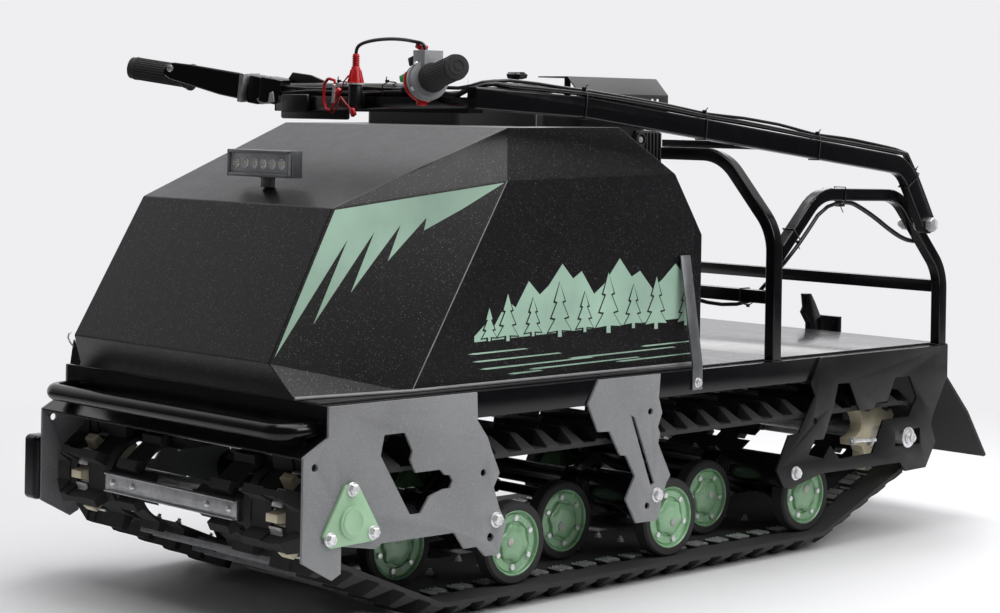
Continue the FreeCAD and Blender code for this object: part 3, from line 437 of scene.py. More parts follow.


# The plate paint: a grey that stands partly for the plates' own charcoal powder coat and partly for the broad sheen
# of light on the front plates and brackets: painted sheen.
PLATE_GREY_AND_SHEEN = PowderCoat("plate_grey_and_painted_sheen", (0.28, 0.283, 0.293), 0.5, peel=520.0, depth=0.35 * MM, flakes=0.12,
                   flake_size=1.0 * MM, flake_glint_colour=(0.42, 0.42, 0.43))
# The same plate paint made near black for the rear plates, where light falls off towards the rear: painted shade.
PLATE_PAINTED_SHADE = PowderCoat("plate_painted_shade", (0.004, 0.004, 0.005), 0.45, peel=520.0, depth=0.3 * MM)
GLOSS_BLACK = PowderCoat("frame_black", (0.003, 0.003, 0.004), 0.2, depth=0.08 * MM, shine=0.42)
DECK_BLACK = PowderCoat("deck_black", (0.04, 0.04, 0.042), 0.22, depth=0.06 * MM, shine=0.95)
HOOD_BLACK = PowderCoat("hood_sparkle", (0.006, 0.005, 0.006), 0.34, depth=0.06 * MM, shine=0.45, flakes=0.03,
                        flake_size=0.75 * MM, flake_glint_colour=(0.3, 0.29, 0.3), scuffed=0.06)
ENGINE_BLACK = PowderCoat("engine_black", (0.002, 0.002, 0.003), 0.2, depth=0.06 * MM, shine=0.3)
HEAT_BLACK = PowderCoat("muffler_black", (0.005, 0.005, 0.006), 0.45, peel=900.0, depth=0.2 * MM)
ENGINE_GREY = Metal("engine_cast", (0.32, 0.32, 0.33), 0.5)
GREEN = PowderCoat("cover_green", (0.45, 0.71, 0.46), 0.38, depth=0.06 * MM, shine=0.6)
WHEEL_GREEN = PowderCoat("disc_green", (0.25, 0.46, 0.26), 0.3, depth=0.06 * MM, shine=0.9)
PALE_GREEN = PowderCoat("vinyl_green", (0.43, 0.63, 0.50), 0.38, depth=0.04 * MM)
TRACK_RUBBER = Rubber("track_rubber", (0.022, 0.022, 0.023), 0.55)
TYRE_RUBBER = Rubber("tyre_rubber", (0.06, 0.061, 0.064), 0.5, dusty=0.25)
FLAP_RUBBER = Rubber("flap_rubber", (0.02, 0.021, 0.024), 0.45, dusty=0.12)
GRIP_RUBBER = Rubber("grip_rubber", (0.16, 0.162, 0.168), 0.42, dusty=0.1)
# Black cable sheath; the same black also paints the shade in the muffler shield's vents.
CABLE_AND_VENT_SHADE = Plastic("cable_sheath_and_vent_shade", (0.005, 0.005, 0.006), 0.3)
ZINC = Metal("zinc_plate", (0.9, 0.9, 0.91), 0.34, solid=0.7)
GALVANISED = Metal("galvanised", (0.52, 0.525, 0.535), 0.5, crystals=0.35, scratches=0.3)
BLACK_VINYL = Plastic("vinyl_black", (0.008, 0.008, 0.009), 0.4)
STRAP = Metal("strap_zinc", (0.26, 0.265, 0.275), 0.45, scratches=0.4)
TOOTH = Plastic("sprocket_amber", (0.97, 0.86, 0.62), 0.35)
BLACK_PLASTIC = Plastic("control_black", (0.006, 0.006, 0.007), 0.36)
GREY_PLASTIC = Plastic("housing_grey", (0.34, 0.344, 0.355), 0.4)
RED_PLASTIC = Plastic("signal_red", (0.62, 0.012, 0.016), 0.3)
BRIGHT_GREEN = Plastic("indicator_green", (0.05, 0.55, 0.12), 0.3)
LAMP_GREY = PowderCoat("lamp_grey", (0.22, 0.223, 0.232), 0.34, depth=0.05 * MM, shine=0.7)
MIRROR = Metal("reflector", (0.85, 0.85, 0.86), 0.3, solid=0.5)
FROSTED = Plastic("lamp_window", (0.5, 0.505, 0.52), 0.2)
CHIP = Diode("diode_chip", (0.9, 0.86, 0.62), 0.4)
# Light grey for the hood's lip trim; it also paints the crease beads as a painted highlight.
LIP_TRIM_AND_SEAM_HIGHLIGHT = Plastic("lip_trim_and_seam_highlight", (0.34, 0.345, 0.355), 0.42)
PLUG_GREY = Plastic("wheel_plug", (0.45, 0.47, 0.42), 0.4)

SLOT_FINISHES: dict[str, Finish] = {
    "plate_paint": PLATE_GREY_AND_SHEEN, "frame_paint": GLOSS_BLACK, "flap_rubber": FLAP_RUBBER,
    "track_rubber": TRACK_RUBBER, "tyre_rubber": TYRE_RUBBER, "bright_steel": ZINC,
    "dull_steel": GALVANISED, "spring_steel": GLOSS_BLACK, "sprocket_plastic": TOOTH,
    "green_paint": GREEN, "engine_metal": ENGINE_GREY, "engine_black": ENGINE_BLACK,
    "muffler_black": HEAT_BLACK, "hood_paint": HOOD_BLACK, "lamp_metal": LAMP_GREY,
    "strap_steel": STRAP, "bar_paint": GLOSS_BLACK, "grip_rubber": GRIP_RUBBER,
    "control_plastic": BLACK_PLASTIC, "red_plastic": RED_PLASTIC, "cable_rubber": CABLE_AND_VENT_SHADE,
}
# The rear plates take the painted-shade copy of the plate paint.
NODE_FINISHES: dict[str, Finish] = {"rear_plates": PLATE_PAINTED_SHADE, "rear_deck": DECK_BLACK,
                                    "engine_deck": DECK_BLACK, "throttle": GREY_PLASTIC}


# ---------------------------------------------------------------- shapes
def mount(name: str, data: bpy.types.ID, body: Body) -> bpy.types.Object:
    """Make a piece's object on its body.

    Args:
        name: the piece's name.
        data: its mesh or curve.
        body: the body that it rides on.

    Returns:
        The piece.
    """
    made = put(name, data)
    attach(made, body.value)
    return made


class Shape:
    """One piece's mesh while it is made, in metres, in the vehicle's frame."""

    def __init__(self) -> None:
        """Start with nothing."""
        self.mesh = bmesh.new()
        self.done = self.mesh.faces.layers.int.new("done")
        self.finishes: list[Finish] = []

    def box(self, centre: Vector, size: Vector, soft: float = 0.0, turn: Matrix | None = None) -> None:
        """Add a box.

        Args:
            centre: its middle.
            size: its three lengths.
            soft: how far its edges are rounded.
            turn: how it is turned about its middle.
        """
        verts = bmesh.ops.create_cube(self.mesh, size=1.0)["verts"]
        for vert in verts:
            local = Vector(part * length for part, length in zip(vert.co, size))
            vert.co = centre + (turn @ local if turn else local)
        if soft:
            edges = list({edge for vert in verts for edge in vert.link_edges})
            bmesh.ops.bevel(self.mesh, geom=edges, offset=soft, segments=2, profile=0.5, affect="EDGES")

    def lathe(self, profile: Profile, base: Vector, axis: Vector, sides: int = 24, turn: float = 0.0,
              lobes: int = 0, lobe: float = 0.0) -> None:
        """Add a turned form.

        Args:
            profile: (distance along the axis, radius) points; a radius of nought closes an end.
            base: where the distances start.
            axis: the way they run.
            sides: how many sides it has.
            turn: the angle of its first side.
            lobes: how many lobes its outline has.
            lobe: how much larger the radius is on a lobe, as a share.
        """
        way = axis.normalized()
        across, aside = square_to(way)
        rings = []
        for along, radius in profile:
            if radius <= 0:
                rings.append([self.mesh.verts.new(base + way * along)])
                continue
            ring = []
            for step in range(sides):
                angle = turn + 2 * math.pi * step / sides
                wide = radius * (1 + lobe * math.cos(lobes * angle))
                out = across * math.cos(angle) + aside * math.sin(angle)
                ring.append(self.mesh.verts.new(base + way * along + out * wide))
            rings.append(ring)
        for low, high in zip(rings, rings[1:]):
            for step in range(sides):
                after = (step + 1) % sides
                corners = (low[step % len(low)], low[after % len(low)],
                           high[after % len(high)], high[step % len(high)])
                distinct = list(dict.fromkeys(corners))
                if len(distinct) > 2:
                    self.mesh.faces.new(distinct)

    def rod(self, start: Vector, end: Vector, radius: float, sides: int = 16, soft: float = 0.0) -> None:
        """Add a round bar between two points.

        Args:
            start: the middle of one end.
            end: the middle of the other end.
            radius: its radius.
            sides: how many sides it has.
            soft: how far its end edges are cut back.
        """
        long = (end - start).length
        profile = [(0, 0), (0, radius - soft), (soft, radius), (long - soft, radius),
                   (long, radius - soft), (long, 0)]
        self.lathe(profile, start, end - start, sides)

    def bolt(self, seat: Vector, axis: Vector, size: float = 8 * MM, washer: bool = True) -> None:
        """Add a hex bolt head, on a washer where asked.

        Args:
            seat: where it sits on the surface.
            axis: the way it points.
            size: its thread size.
            washer: whether a washer lies under it.
        """
        up = 0.0
        if washer:
            up = 0.2 * size
            self.lathe([(-0.1 * size, 0), (-0.1 * size, 1.15 * size), (up * 0.7, 1.15 * size),
                        (up, 1.05 * size), (up, 0)], seat, axis, 20)
        self.lathe([(up, 0), (up, 0.92 * size), (up + 0.5 * size, 0.92 * size),
                    (up + 0.66 * size, 0.74 * size), (up + 0.66 * size, 0.5 * size),
                    (up + 0.6 * size, 0.42 * size), (up + 0.6 * size, 0)], seat, axis, 6, 0.3)

    def sweep(self, path: Sequence[Vector], radius: float, sides: int = 8, closed: bool = False) -> None:
        """Add a tube along a path.

        Args:
            path: the points it follows.
            radius: its radius.
            sides: how many sides it has.
            closed: whether its ends join.
        """
        count = len(path)
        across = (path[1] - path[0]).orthogonal().normalized()
        rings = []
        for index, here in enumerate(path):
            before = path[(index - 1) % count] if closed or index else here
            after = path[(index + 1) % count] if closed or index < count - 1 else here
            way = (after - before).normalized()
            across = facing(across, way)
            aside = way.cross(across)
            rings.append([self.mesh.verts.new(here + (across * cosine + aside * sine) * radius)
                          for cosine, sine in circle(sides)])
        pairs = list(zip(rings, rings[1:])) + ([(rings[-1], rings[0])] if closed else [])
        for low, high in pairs:
            for step in range(sides):
                after = (step + 1) % sides
                self.mesh.faces.new((low[step], low[after], high[after], high[step]))
        if not closed:
            self.mesh.faces.new(rings[0][::-1])
            self.mesh.faces.new(rings[-1])

    def slab(self, outline: Sequence[Vector], depth: Vector, soft: float = 0.0) -> None:
        """Add a plate.

        Args:
            outline: its corners, in order round it.
            depth: the way and distance that it is thick.
            soft: how far its edges are rounded.
        """
        face = self.mesh.faces.new([self.mesh.verts.new(corner) for corner in outline])
        made = bmesh.ops.extrude_face_region(self.mesh, geom=[face])["geom"]
        lifted = [item for item in made if isinstance(item, bmesh.types.BMVert)]
        bmesh.ops.translate(self.mesh, verts=lifted, vec=depth)
        if soft:
            verts = set(lifted) | set(face.verts)
            edges = [edge for edge in self.mesh.edges if set(edge.verts) <= verts]
            bmesh.ops.bevel(self.mesh, geom=edges, offset=soft, segments=1, profile=0.5, affect="EDGES")

    def coat(self, finish: Finish) -> "Shape":
        """Give the faces made since the last coat a finish.

        Args:
            finish: the finish.

        Returns:
            The shape itself.
        """
        if finish not in self.finishes:
            self.finishes.append(finish)
        index = self.finishes.index(finish)
        for face in self.mesh.faces:
            if not face[self.done]:
                face.material_index = index
                face[self.done] = 1
        return self

    def piece(self, name: str, body: Body = Body.CHASSIS, slot: str | None = None,
              crease: float = 35.0) -> bpy.types.Object:
        """Finish the mesh as a piece of the vehicle.

        Args:
            name: the piece's name.
            body: the body that it rides on.
            slot: the record's material slot; not used.
            crease: the angle, in degrees, past which an edge stays sharp.

        Returns:
            The piece.
        """
        bmesh.ops.remove_doubles(self.mesh, verts=self.mesh.verts, dist=0.002 * MM)
        bmesh.ops.recalc_face_normals(self.mesh, faces=self.mesh.faces)
        data = bpy.data.meshes.new(name)
        self.mesh.to_mesh(data)
        self.mesh.free()
        data.polygons.foreach_set("use_smooth", [True] * len(data.polygons))
        data.set_sharp_from_angle(angle=math.radians(crease))
        for finish in self.finishes:
            data.materials.append(finish.material())
        log.info("%s: %d faces", name, len(data.polygons))
        return mount(name, data, body)


def curve_piece(name: str, points: Sequence[Vector], radius: float, finish: Finish, body: Body) -> bpy.types.Object:
    """Make a cable as a smooth round curve.

    Args:
        name: the piece's name.
        points: the control points of its line.
        radius: the cable's radius.
        finish: its surface.
        body: the body that it rides on.

    Returns:
        The curve piece.
    """
    data = bpy.data.curves.new(name, "CURVE")
    data.dimensions = "3D"
    data.resolution_u = 10
    data.bevel_depth = radius
    data.bevel_resolution = 4
    data.use_fill_caps = True
    spline = data.splines.new("NURBS")
    spline.points.add(len(points) - 1)
    for point, place in zip(spline.points, points):
        point.co = (*place, 1.0)
    spline.order_u = 3
    spline.use_endpoint_u = True
    data.materials.append(finish.material())
    log.info("%s: a cable of %d points", name, len(points))
    return mount(name, data, body)


# ---------------------------------------------------------------- camera, studio and cords
@dataclass
class Viewpoint:
    """The camera, low ahead of the vehicle's left side, with a long lens."""

    at: Vector = field(default_factory=lambda: mm(2557.4, -2586.3, 695.2))
    heading: float = 46.18
    nose_down: float = 0.13
    roll: float = 0.95
    lens: float = 82.0
    rise: float = -0.1903

    def place(self) -> None:
        """Make the camera and give it to the scene."""
        data = bpy.data.cameras.new("viewpoint")
        data.lens = self.lens
        data.sensor_width = 36.0
        data.shift_y = self.rise
        data.clip_end = 100.0
        camera = put("viewpoint", data)
        turn = (Matrix.Rotation(math.radians(self.heading), 4, "Z")
                @ Matrix.Rotation(math.radians(90 - self.nose_down), 4, "X")
                @ Matrix.Rotation(math.radians(self.roll), 4, "Z"))
        camera.matrix_world = Matrix.Translation(self.at) @ turn
        bpy.context.scene.camera = camera


@dataclass
class Softbox:
    """A large soft lamp."""

    name: str
    at: Vector
    aim: Vector
    wide: float
    high: float
    level: float

    def hang(self) -> None:
        """Put the lamp up; its level is how bright its face is."""
        data = bpy.data.lights.new(self.name, "AREA")
        data.shape = "RECTANGLE"
        data.size = self.wide
        data.size_y = self.high
        data.energy = self.level * math.pi * self.wide * self.high
        lamp = put(self.name, data)
        lamp.location = self.at
        lamp.rotation_mode = "QUATERNION"
        lamp.rotation_quaternion = (self.aim - self.at).to_track_quat("-Z", "Y")


@dataclass
class Studio:
    """A pale floor and backdrop under soft lamps; the rest of the room is dark."""

    floor_size: float = 60.0
    floor_colour: Colour = (0.86, 0.86, 0.87)
    room_colour: Colour = (0.862, 0.855, 0.878)
    backdrop: Colour = (-0.70, 0.70, 0.12)
    backdrop_edge: tuple[float, float] = (0.15, 0.6)
    levels: tuple[float, float] = (0.07, 1.0)
    fade: tuple[float, float] = (0.95, 2.1)
    lit_centre: Vector = field(default_factory=lambda: Vector((0, 0, 0.3)))

    def level(self, graph: Graph, way: bpy.types.NodeSocket) -> bpy.types.NodeSocket:
        """How bright the room is one way: full to look at, and dark away from the backdrop in reflections.

        Args:
            graph: the node tree to lay it in.
            way: the direction's socket.

        Returns:
            The brightness.
        """
        towards = graph.add("ShaderNodeVectorMath", {0: way, 1: self.backdrop}, "Value",
                            operation="DOT_PRODUCT")
        room = graph.spread(towards, self.backdrop_edge, self.levels, interpolation_type="SMOOTHSTEP")
        seen = graph.add("ShaderNodeLightPath", {}, "Is Camera Ray")
        return graph.add("ShaderNodeMath", {0: seen, 1: room}, operation="MAXIMUM")

    def floor(self) -> None:
        """Lay the floor, which passes into the backdrop's brightness away from the vehicle."""
        half = self.floor_size / 2
        data = bpy.data.meshes.new("floor")
        data.from_pydata([(-half, -half, 0), (half, -half, 0), (half, half, 0), (-half, half, 0)], [],
                         [(0, 1, 2, 3)])
        floor = put("floor", data)
        surface = Surface("floor")
        smudges = surface.spread(surface.noise(1.4, 5.0), (0.35, 0.7))
        surface.link(surface.mix(smudges, self.floor_colour, tint(self.floor_colour, 1.03)), "Base Color")
        surface.fix(Roughness=0.55, Specular_IOR_Level=0.25)
        reach = surface.add("ShaderNodeVectorMath", {0: surface.place}, "Value", operation="LENGTH")
        way = surface.add("ShaderNodeVectorMath", {0: surface.place}, "Vector", operation="NORMALIZE")
        glow = surface.add("ShaderNodeEmission", {"Color": (*self.room_colour, 1.0),
                                                  "Strength": self.level(surface, way)})
        both = surface.add("ShaderNodeMixShader", {"Fac": surface.spread(reach, self.fade),
                                                   1: surface.shader.outputs["BSDF"], 2: glow})
        surface.tree.links.new(both, surface.tree.nodes["Material Output"].inputs["Surface"])
        data.materials.append(surface.material)

    def room(self) -> None:
        """Set the room's light."""
        world = bpy.data.worlds.new("room")
        bpy.context.scene.world = world
        world.use_nodes = True
        graph = Graph(world.node_tree)
        back = graph.tree.nodes["Background"].inputs
        back["Color"].default_value = (*self.room_colour, 1.0)
        way = graph.add("ShaderNodeTexCoord", {}, "Generated")
        graph.tree.links.new(self.level(graph, way), back["Strength"])

    def light(self) -> None:
        """Hang the lamps: one wide box overhead, one beside the left side and one behind."""
        for name, at, wide, high, level in (("overhead", (0.2, 0.1, 2.9), 3.8, 3.0, 2.5),
                                            ("left_side", (2.7, 0.5, 2.3), 2.2, 1.5, 4.3),
                                            ("behind", (-1.6, 3.0, 1.9), 2.4, 1.4, 1.6)):
            Softbox(name, Vector(at), self.lit_centre, wide, high, level).hang()

    def build(self) -> None:
        """Make the floor, the room and the lamps."""
        self.floor()
        self.room()
        self.light()


@dataclass
class Cords:
    """The two free cords: the throttle cable's hanging stretch and the stop switch's lead."""

    throttle_x: float = 0.276
    throttle_run: Sequence[tuple[float, float]] = ((0.591, 0.4875), (0.573, 0.4875), (0.543, 0.4925),
                                                   (0.505, 0.5085), (0.463, 0.5305), (0.421, 0.5485),
                                                   (0.397, 0.5565), (0.377, 0.5565))
    throttle_diameter: float = 0.008
    stop_run: Sequence[tuple[float, float, float]] = (
        (0.088, -0.501, 0.773), (0.088, -0.501, 0.781), (0.102, -0.502, 0.788), (0.134, -0.505, 0.792),
        (0.173, -0.510, 0.793), (0.210, -0.516, 0.791), (0.234, -0.520, 0.788))
    stop_diameter: float = 0.005

    def throttle_cable(self) -> None:
        """Hang the throttle cable between its clips inside the left arch."""
        points = [Vector((self.throttle_x, y, z)) for y, z in self.throttle_run]
        cable = curve_piece("throttle_cable_sheath", points, self.throttle_diameter / 2, CABLE_AND_VENT_SHADE, Body.CHASSIS)
        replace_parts(cable, "throttle_cable")

    def stop_lead(self) -> None:
        """Arch the stop switch's lead from its cap to the throttle housing."""
        low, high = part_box("stop_cord")
        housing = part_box("throttle")
        end = Vector((high.x - self.stop_diameter / 2, low.y + self.stop_diameter / 2, housing[1].z))
        points = [Vector(point) for point in self.stop_run] + [end + mm(0, 0, 9), end]
        lead = curve_piece("stop_lead", points, self.stop_diameter / 2, CABLE_AND_VENT_SHADE, Body.HANDLE)
        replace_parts(lead, "stop_cord")

    def build(self) -> None:
        """Lay both cords."""
        self.throttle_cable()
        self.stop_lead()


# ---------------------------------------------------------------- the CAD nodes
@dataclass
class CadNodes:
    """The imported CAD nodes: each takes its slot's finish, and its sharp edges are softened."""

    edge: float = 0.7 * MM
    edges: dict[str, float] = field(default_factory=lambda: {
        "hood": 1.4 * MM, "track": 0.0, "tyres": 0.0, "wheel_discs": 0.0, "bogie_springs": 0.0})
    crease: float = 32.0
    creases: dict[str, float] = field(default_factory=lambda: {"hood": 4.0, "front_panel": 12.0})

    def shading(self, crease: float) -> bpy.types.NodeTree:
        """Make a node group that shades a mesh smooth but keeps its creases.

        Args:
            crease: the angle between two faces, in degrees, from which their edge stays sharp.

        Returns:
            The node group.
        """
        group = bpy.data.node_groups.new(f"soft_shading_{crease:.0f}", "GeometryNodeTree")
        group.interface.new_socket("Geometry", in_out="INPUT", socket_type="NodeSocketGeometry")
        group.interface.new_socket("Geometry", in_out="OUTPUT", socket_type="NodeSocketGeometry")
        graph = Graph(group)
        source = graph.add("NodeGroupInput", {})
        angle = graph.add("GeometryNodeInputMeshEdgeAngle", {}, "Unsigned Angle")
        sharp = graph.add("FunctionNodeCompare", {"A": angle, "B": math.radians(crease)}, "Result",
                          data_type="FLOAT", operation="GREATER_THAN")
        shaded = graph.add("GeometryNodeSetMeshNormal",
                           {"Mesh": source, "Remove Custom": True, "Edge Sharpness": sharp}, mode="SHARPNESS")
        result = group.nodes.new("NodeGroupOutput")
        group.links.new(shaded, result.inputs[0])
        return group

    def soften(self, node: bpy.types.Object, edge: float, crease: float) -> None:
        """Round a node's sharp edges with modifiers, which leave its mesh as it is.

        Args:
            node: the CAD node's object.
            edge: how far its edges are rounded.
            crease: the angle, in degrees, past which an edge is sharp.
        """
        weld = node.modifiers.new("weld", "WELD")
        weld.merge_threshold = 0.01 * MM
        if edge:
            flat = node.modifiers.new("flat", "DECIMATE")
            flat.decimate_type = "DISSOLVE"
            flat.angle_limit = math.radians(0.6)
            bevel = node.modifiers.new("bevel", "BEVEL")
            bevel.width = edge
            bevel.segments = 2
            bevel.limit_method = "ANGLE"
            bevel.angle_limit = math.radians(crease + 2)
            bevel.use_clamp_overlap = False
        smooth = node.modifiers.new("smooth", "NODES")
        found = bpy.data.node_groups.get(f"soft_shading_{crease:.0f}")
        smooth.node_group = found or self.shading(crease)

    def build(self) -> None:
        """Dress every node."""
        slots = {part["node"]: part["material_slot"] for part in frame["record"]["subparts"]}
        for name, node in frame["nodes"].items():
            finish = NODE_FINISHES.get(name) or SLOT_FINISHES[slots[name]]
            node.data.materials.clear()
            node.data.materials.append(finish.material())
            self.soften(node, self.edges.get(name, self.edge), self.creases.get(name, self.crease))
        log.info("%d nodes dressed", len(frame["nodes"]))


# ---------------------------------------------------------------- running gear
@dataclass
class Belt:
    """The track's line round its wheels, in the Y-Z plane."""

    drive_round: float = 55.26 * MM
    skin: float = 3.0 * MM
    walk: list[tuple] = field(init=False)
    total: float = field(init=False)

    def __post_init__(self) -> None:
        """Find the rounds from the wheels, and walk the line."""
        drive, tail = middle("drive_axle"), middle("rear_axle")
        tyres = [((low + high) / 2, (high.z - low.z) / 2) for low, high in islands("tyres")]
        front = min(tyres, key=lambda tyre: tyre[0].y)
        rear = max(tyres, key=lambda tyre: tyre[0].y)
        rounds = [(drive.y, drive.z, self.drive_round)]
        rounds += [(tyre.y, tyre.z, radius + self.skin) for tyre, radius in (front, rear)]
        rounds.append((tail.y, tail.z, self.drive_round))
        touches = []
        for here, after in zip(rounds, rounds[1:] + rounds[:1]):
            along = math.atan2(after[1] - here[1], after[0] - here[0])
            gap = math.hypot(after[1] - here[1], after[0] - here[0])
            normal = along - math.pi / 2 + math.asin((here[2] - after[2]) / gap)
            way = Vector((0, math.cos(normal), math.sin(normal)))
            touches.append((Vector((0, *here[:2])) + way * here[2], Vector((0, *after[:2])) + way * after[2],
                            normal, after))
        self.walk = []
        for (start, end, normal, after), following in zip(touches, touches[1:] + touches[:1]):
            self.walk.append((start, end, normal, 0.0, (end - start).length))
            turn = (following[2] - normal) % (2 * math.pi)
            self.walk.append((Vector((0, *after[:2])), None, normal, after[2], after[2] * turn))
        self.total = sum(piece[4] for piece in self.walk)

    def at(self, distance: float, offset: float = 0.0) -> tuple[Vector, Vector]:
        """Find a place on the track.

        Args:
            distance: how far along the line it is.
            offset: how far outside the belt's middle it is.

        Returns:
            The place at X = 0, and the way outward there.
        """
        distance %= self.total
        for start, end, normal, radius, length in self.walk:
            if distance <= length:
                if end is not None:
                    way = Vector((0, math.cos(normal), math.sin(normal)))
                    return start + (end - start) * (distance / length) + way * offset, way
                angle = normal + distance / radius
                way = Vector((0, math.cos(angle), math.sin(angle)))
                return start + way * (radius + offset), way
            distance -= length
        return self.at(0.0, offset)

    def windows(self, rows: int) -> list[float]:
        """Find the window rows, of which the first faces straight forward on the drive wheel.

        Args:
            rows: how many rows the belt has.

        Returns:
            Each row's distance along the belt.
        """
        normal, radius, length = self.walk[-1][2:]
        forward = self.total - length + radius * (math.pi - normal % (2 * math.pi))
        return [forward + row * self.total / rows for row in range(rows)]


def upright(way: Vector) -> Matrix:
    """The turn that sets local Z along a way that lies in the Y-Z plane, with local X along X."""
    up = way.normalized()
    return Matrix((LEFT, up.cross(LEFT), up)).transposed()


@dataclass
class TrackHardware:
    """What is fitted to the track: rivets and folded lips on its cross bars, and clips on its webs."""

    belt: Belt
    rivet_x: tuple[float, ...] = (87 * MM, 135 * MM)
    rivet: float = 5.2 * MM
    bar_half: tuple[float, float] = (150 * MM, 13 * MM)
    bar_thick: float = 3.5 * MM
    lip: tuple[float, float] = (1.8 * MM, 4.5 * MM)
    clip_x: float = 225 * MM
    clip: tuple[float, float, float] = (22 * MM, 8.6 * MM, 9.4 * MM)
    clip_apart: float = 8.0 * MM
    seat: float = 8.0 * MM

    def bars(self) -> None:
        """Fit the cross bars with rivets and lips."""
        boxes = [(low + high) / 2 for low, high in islands("track_bars")]
        rows = self.belt.windows(2 * len(boxes))[::2]
        rivets, lips = Shape(), Shape()
        for row in rows:
            near, way = self.belt.at(row, self.seat)
            centre = min(boxes, key=lambda box: (box - near).length)
            face = centre + way * (self.bar_thick / 2)
            along = way.cross(LEFT)
            for side in (-1, 1):
                edge = face + along * side * (self.bar_half[1] - self.lip[0] / 2) + way * (self.lip[1] / 2)
                lips.box(edge, Vector((2 * self.bar_half[0], self.lip[0], self.lip[1])), 0.5 * MM,
                         upright(way))
                for x in self.rivet_x:
                    seat = face + Vector((side * x, 0, 0))
                    rivets.lathe([(-0.5 * MM, self.rivet), (0.8 * MM, self.rivet),
                                  (2.2 * MM, self.rivet * 0.75), (3.0 * MM, self.rivet * 0.35),
                                  (3.1 * MM, 0)], seat, way, 14)
                    inside = self.belt.at(row, -self.belt.skin)[0] + Vector((side * x, 0, 0))
                    rivets.lathe(in_mm((0, 6), (1.2, 6), (1.2, 4.6), (5, 4.6), (5, 2.6), (9, 2.6),
                                       (9.6, 0)), inside, -way, 8)
        rivets.coat(ZINC).piece("track_rivets", slot="bright_steel")
        lips.coat(GALVANISED).piece("track_bar_lips", slot="dull_steel")

    def clips(self) -> None:
        """Bend a pair of clips round each web between two windows."""
        count = 2 * len(islands("track_bars"))
        rows = self.belt.windows(count)
        half = (rows[1] - rows[0]) / 2
        clips = Shape()
        for row in rows:
            for shift in (-self.clip_apart, self.clip_apart):
                centre, way = self.belt.at(row + half + shift)
                for side in (-1, 1):
                    clips.box(centre + Vector((side * self.clip_x, 0, 0)), Vector(self.clip), 2.0 * MM,
                              upright(way))
        clips.coat(ZINC).piece("track_clips", slot="bright_steel")

    def build(self) -> None:
        """Fit everything."""
        self.bars()
        self.clips()


@dataclass
class Wheels:
    """Stamped wheel discs: a rolled rim, a scalloped dome, six bolts and an off-centre plug."""

    rim: float = 46 * MM
    flat: float = 40 * MM
    dome: float = 27 * MM
    lobes: int = 6
    bolt_circle: float = 34.5 * MM
    bolt_size: float = 5.2 * MM
    recess: float = 5.2 * MM
    plug: tuple[float, float] = (6.2 * MM, 10 * MM)
    plug_turn: float = 0.9
    rolled: float = 0.61

    def disc(self, shape: Shape, face: Vector, out: Vector, turn: float) -> None:
        """Add one disc.

        Args:
            shape: the piece that it is part of.
            face: the middle of the wheel's outer face.
            out: the way that the face looks.
            turn: how far the wheel has rolled.
        """
        rim = self.rim
        shape.lathe([(-20 * MM, rim - 3 * MM), (-20 * MM, rim), (-0.4 * MM, rim), (0, rim - 0.8 * MM),
                     (-1.0 * MM, rim - 2.0 * MM), (-6.5 * MM, rim - 2.8 * MM), (-7.5 * MM, rim - 4.5 * MM),
                     (-self.recess, self.flat), (-self.recess, self.dome + 4 * MM),
                     (-8.2 * MM, self.dome + 2 * MM),
                     (-9.0 * MM, 8.5 * MM), (-22 * MM, 16 * MM), (-22 * MM, 8.2 * MM)], face, out, 48, turn)
        shape.lathe([(-9.5 * MM, self.dome), (-3.0 * MM, self.dome * 0.94), (-1.2 * MM, self.dome * 0.84),
                     (-0.9 * MM, self.dome * 0.5), (-0.9 * MM, 0)], face, out, 48, turn, self.lobes, 0.085)

    def build(self) -> None:
        """Build the twelve wheels in place of the plain ones."""
        discs, bolts, plugs = Shape(), Shape(), Shape()
        for index, (low, high) in enumerate(islands("wheel_discs")):
            centre = (low + high) / 2
            side = 1 if centre.x > 0 else -1
            out = Vector((side, 0, 0))
            face = Vector((high.x if side > 0 else low.x, centre.y, centre.z)) + out * 1.0 * MM
            turn = self.rolled * index
            self.disc(discs, face, out, turn)
            across, aside = square_to(out)
            for step in range(self.lobes):
                angle = turn + (step + 0.5) * 2 * math.pi / self.lobes
                place = face + (across * math.cos(angle) + aside * math.sin(angle)) * self.bolt_circle
                bolts.bolt(place - out * self.recess, out, self.bolt_size, False)
            angle = turn + self.plug_turn
            place = face + (across * math.cos(angle) + aside * math.sin(angle)) * self.plug[1]
            plugs.lathe([(-2 * MM, self.plug[0]), (0.4 * MM, self.plug[0]), (1.0 * MM, self.plug[0] * 0.8),
                         (1.0 * MM, 0)], place, out, 16)
        discs.coat(WHEEL_GREEN)
        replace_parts(discs.piece("stamped_wheel_discs", slot="green_paint"), "wheel_discs")
        bolts.coat(ZINC).piece("wheel_bolts", slot="bright_steel")
        plugs.coat(PLUG_GREY).piece("wheel_plugs")


@dataclass
class Springs:
    """Coil springs of round wire on the bogie pivots."""

    wire: float = 2.0 * MM
    turns: float = 5.5
    steps: int = 20

    def build(self) -> None:
        """Wind the springs in place of the plain ones."""
        coils = Shape()
        for low, high in islands("bogie_springs"):
            centre = (low + high) / 2
            radius = (high.z - low.z) / 2 - self.wire
            count = int(self.turns * self.steps)
            start, long = low.x + self.wire, high.x - low.x - 2 * self.wire
            path = []
            for step in range(count + 1):
                angle = 2 * math.pi * step / self.steps
                path.append(Vector((start + long * step / count, centre.y + radius * math.cos(angle),
                                    centre.z + radius * math.sin(angle))))
            coils.sweep(path, self.wire, 8)
        coils.coat(GLOSS_BLACK)
        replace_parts(coils.piece("wound_bogie_springs", slot="spring_steel", crease=60.0), "bogie_springs")


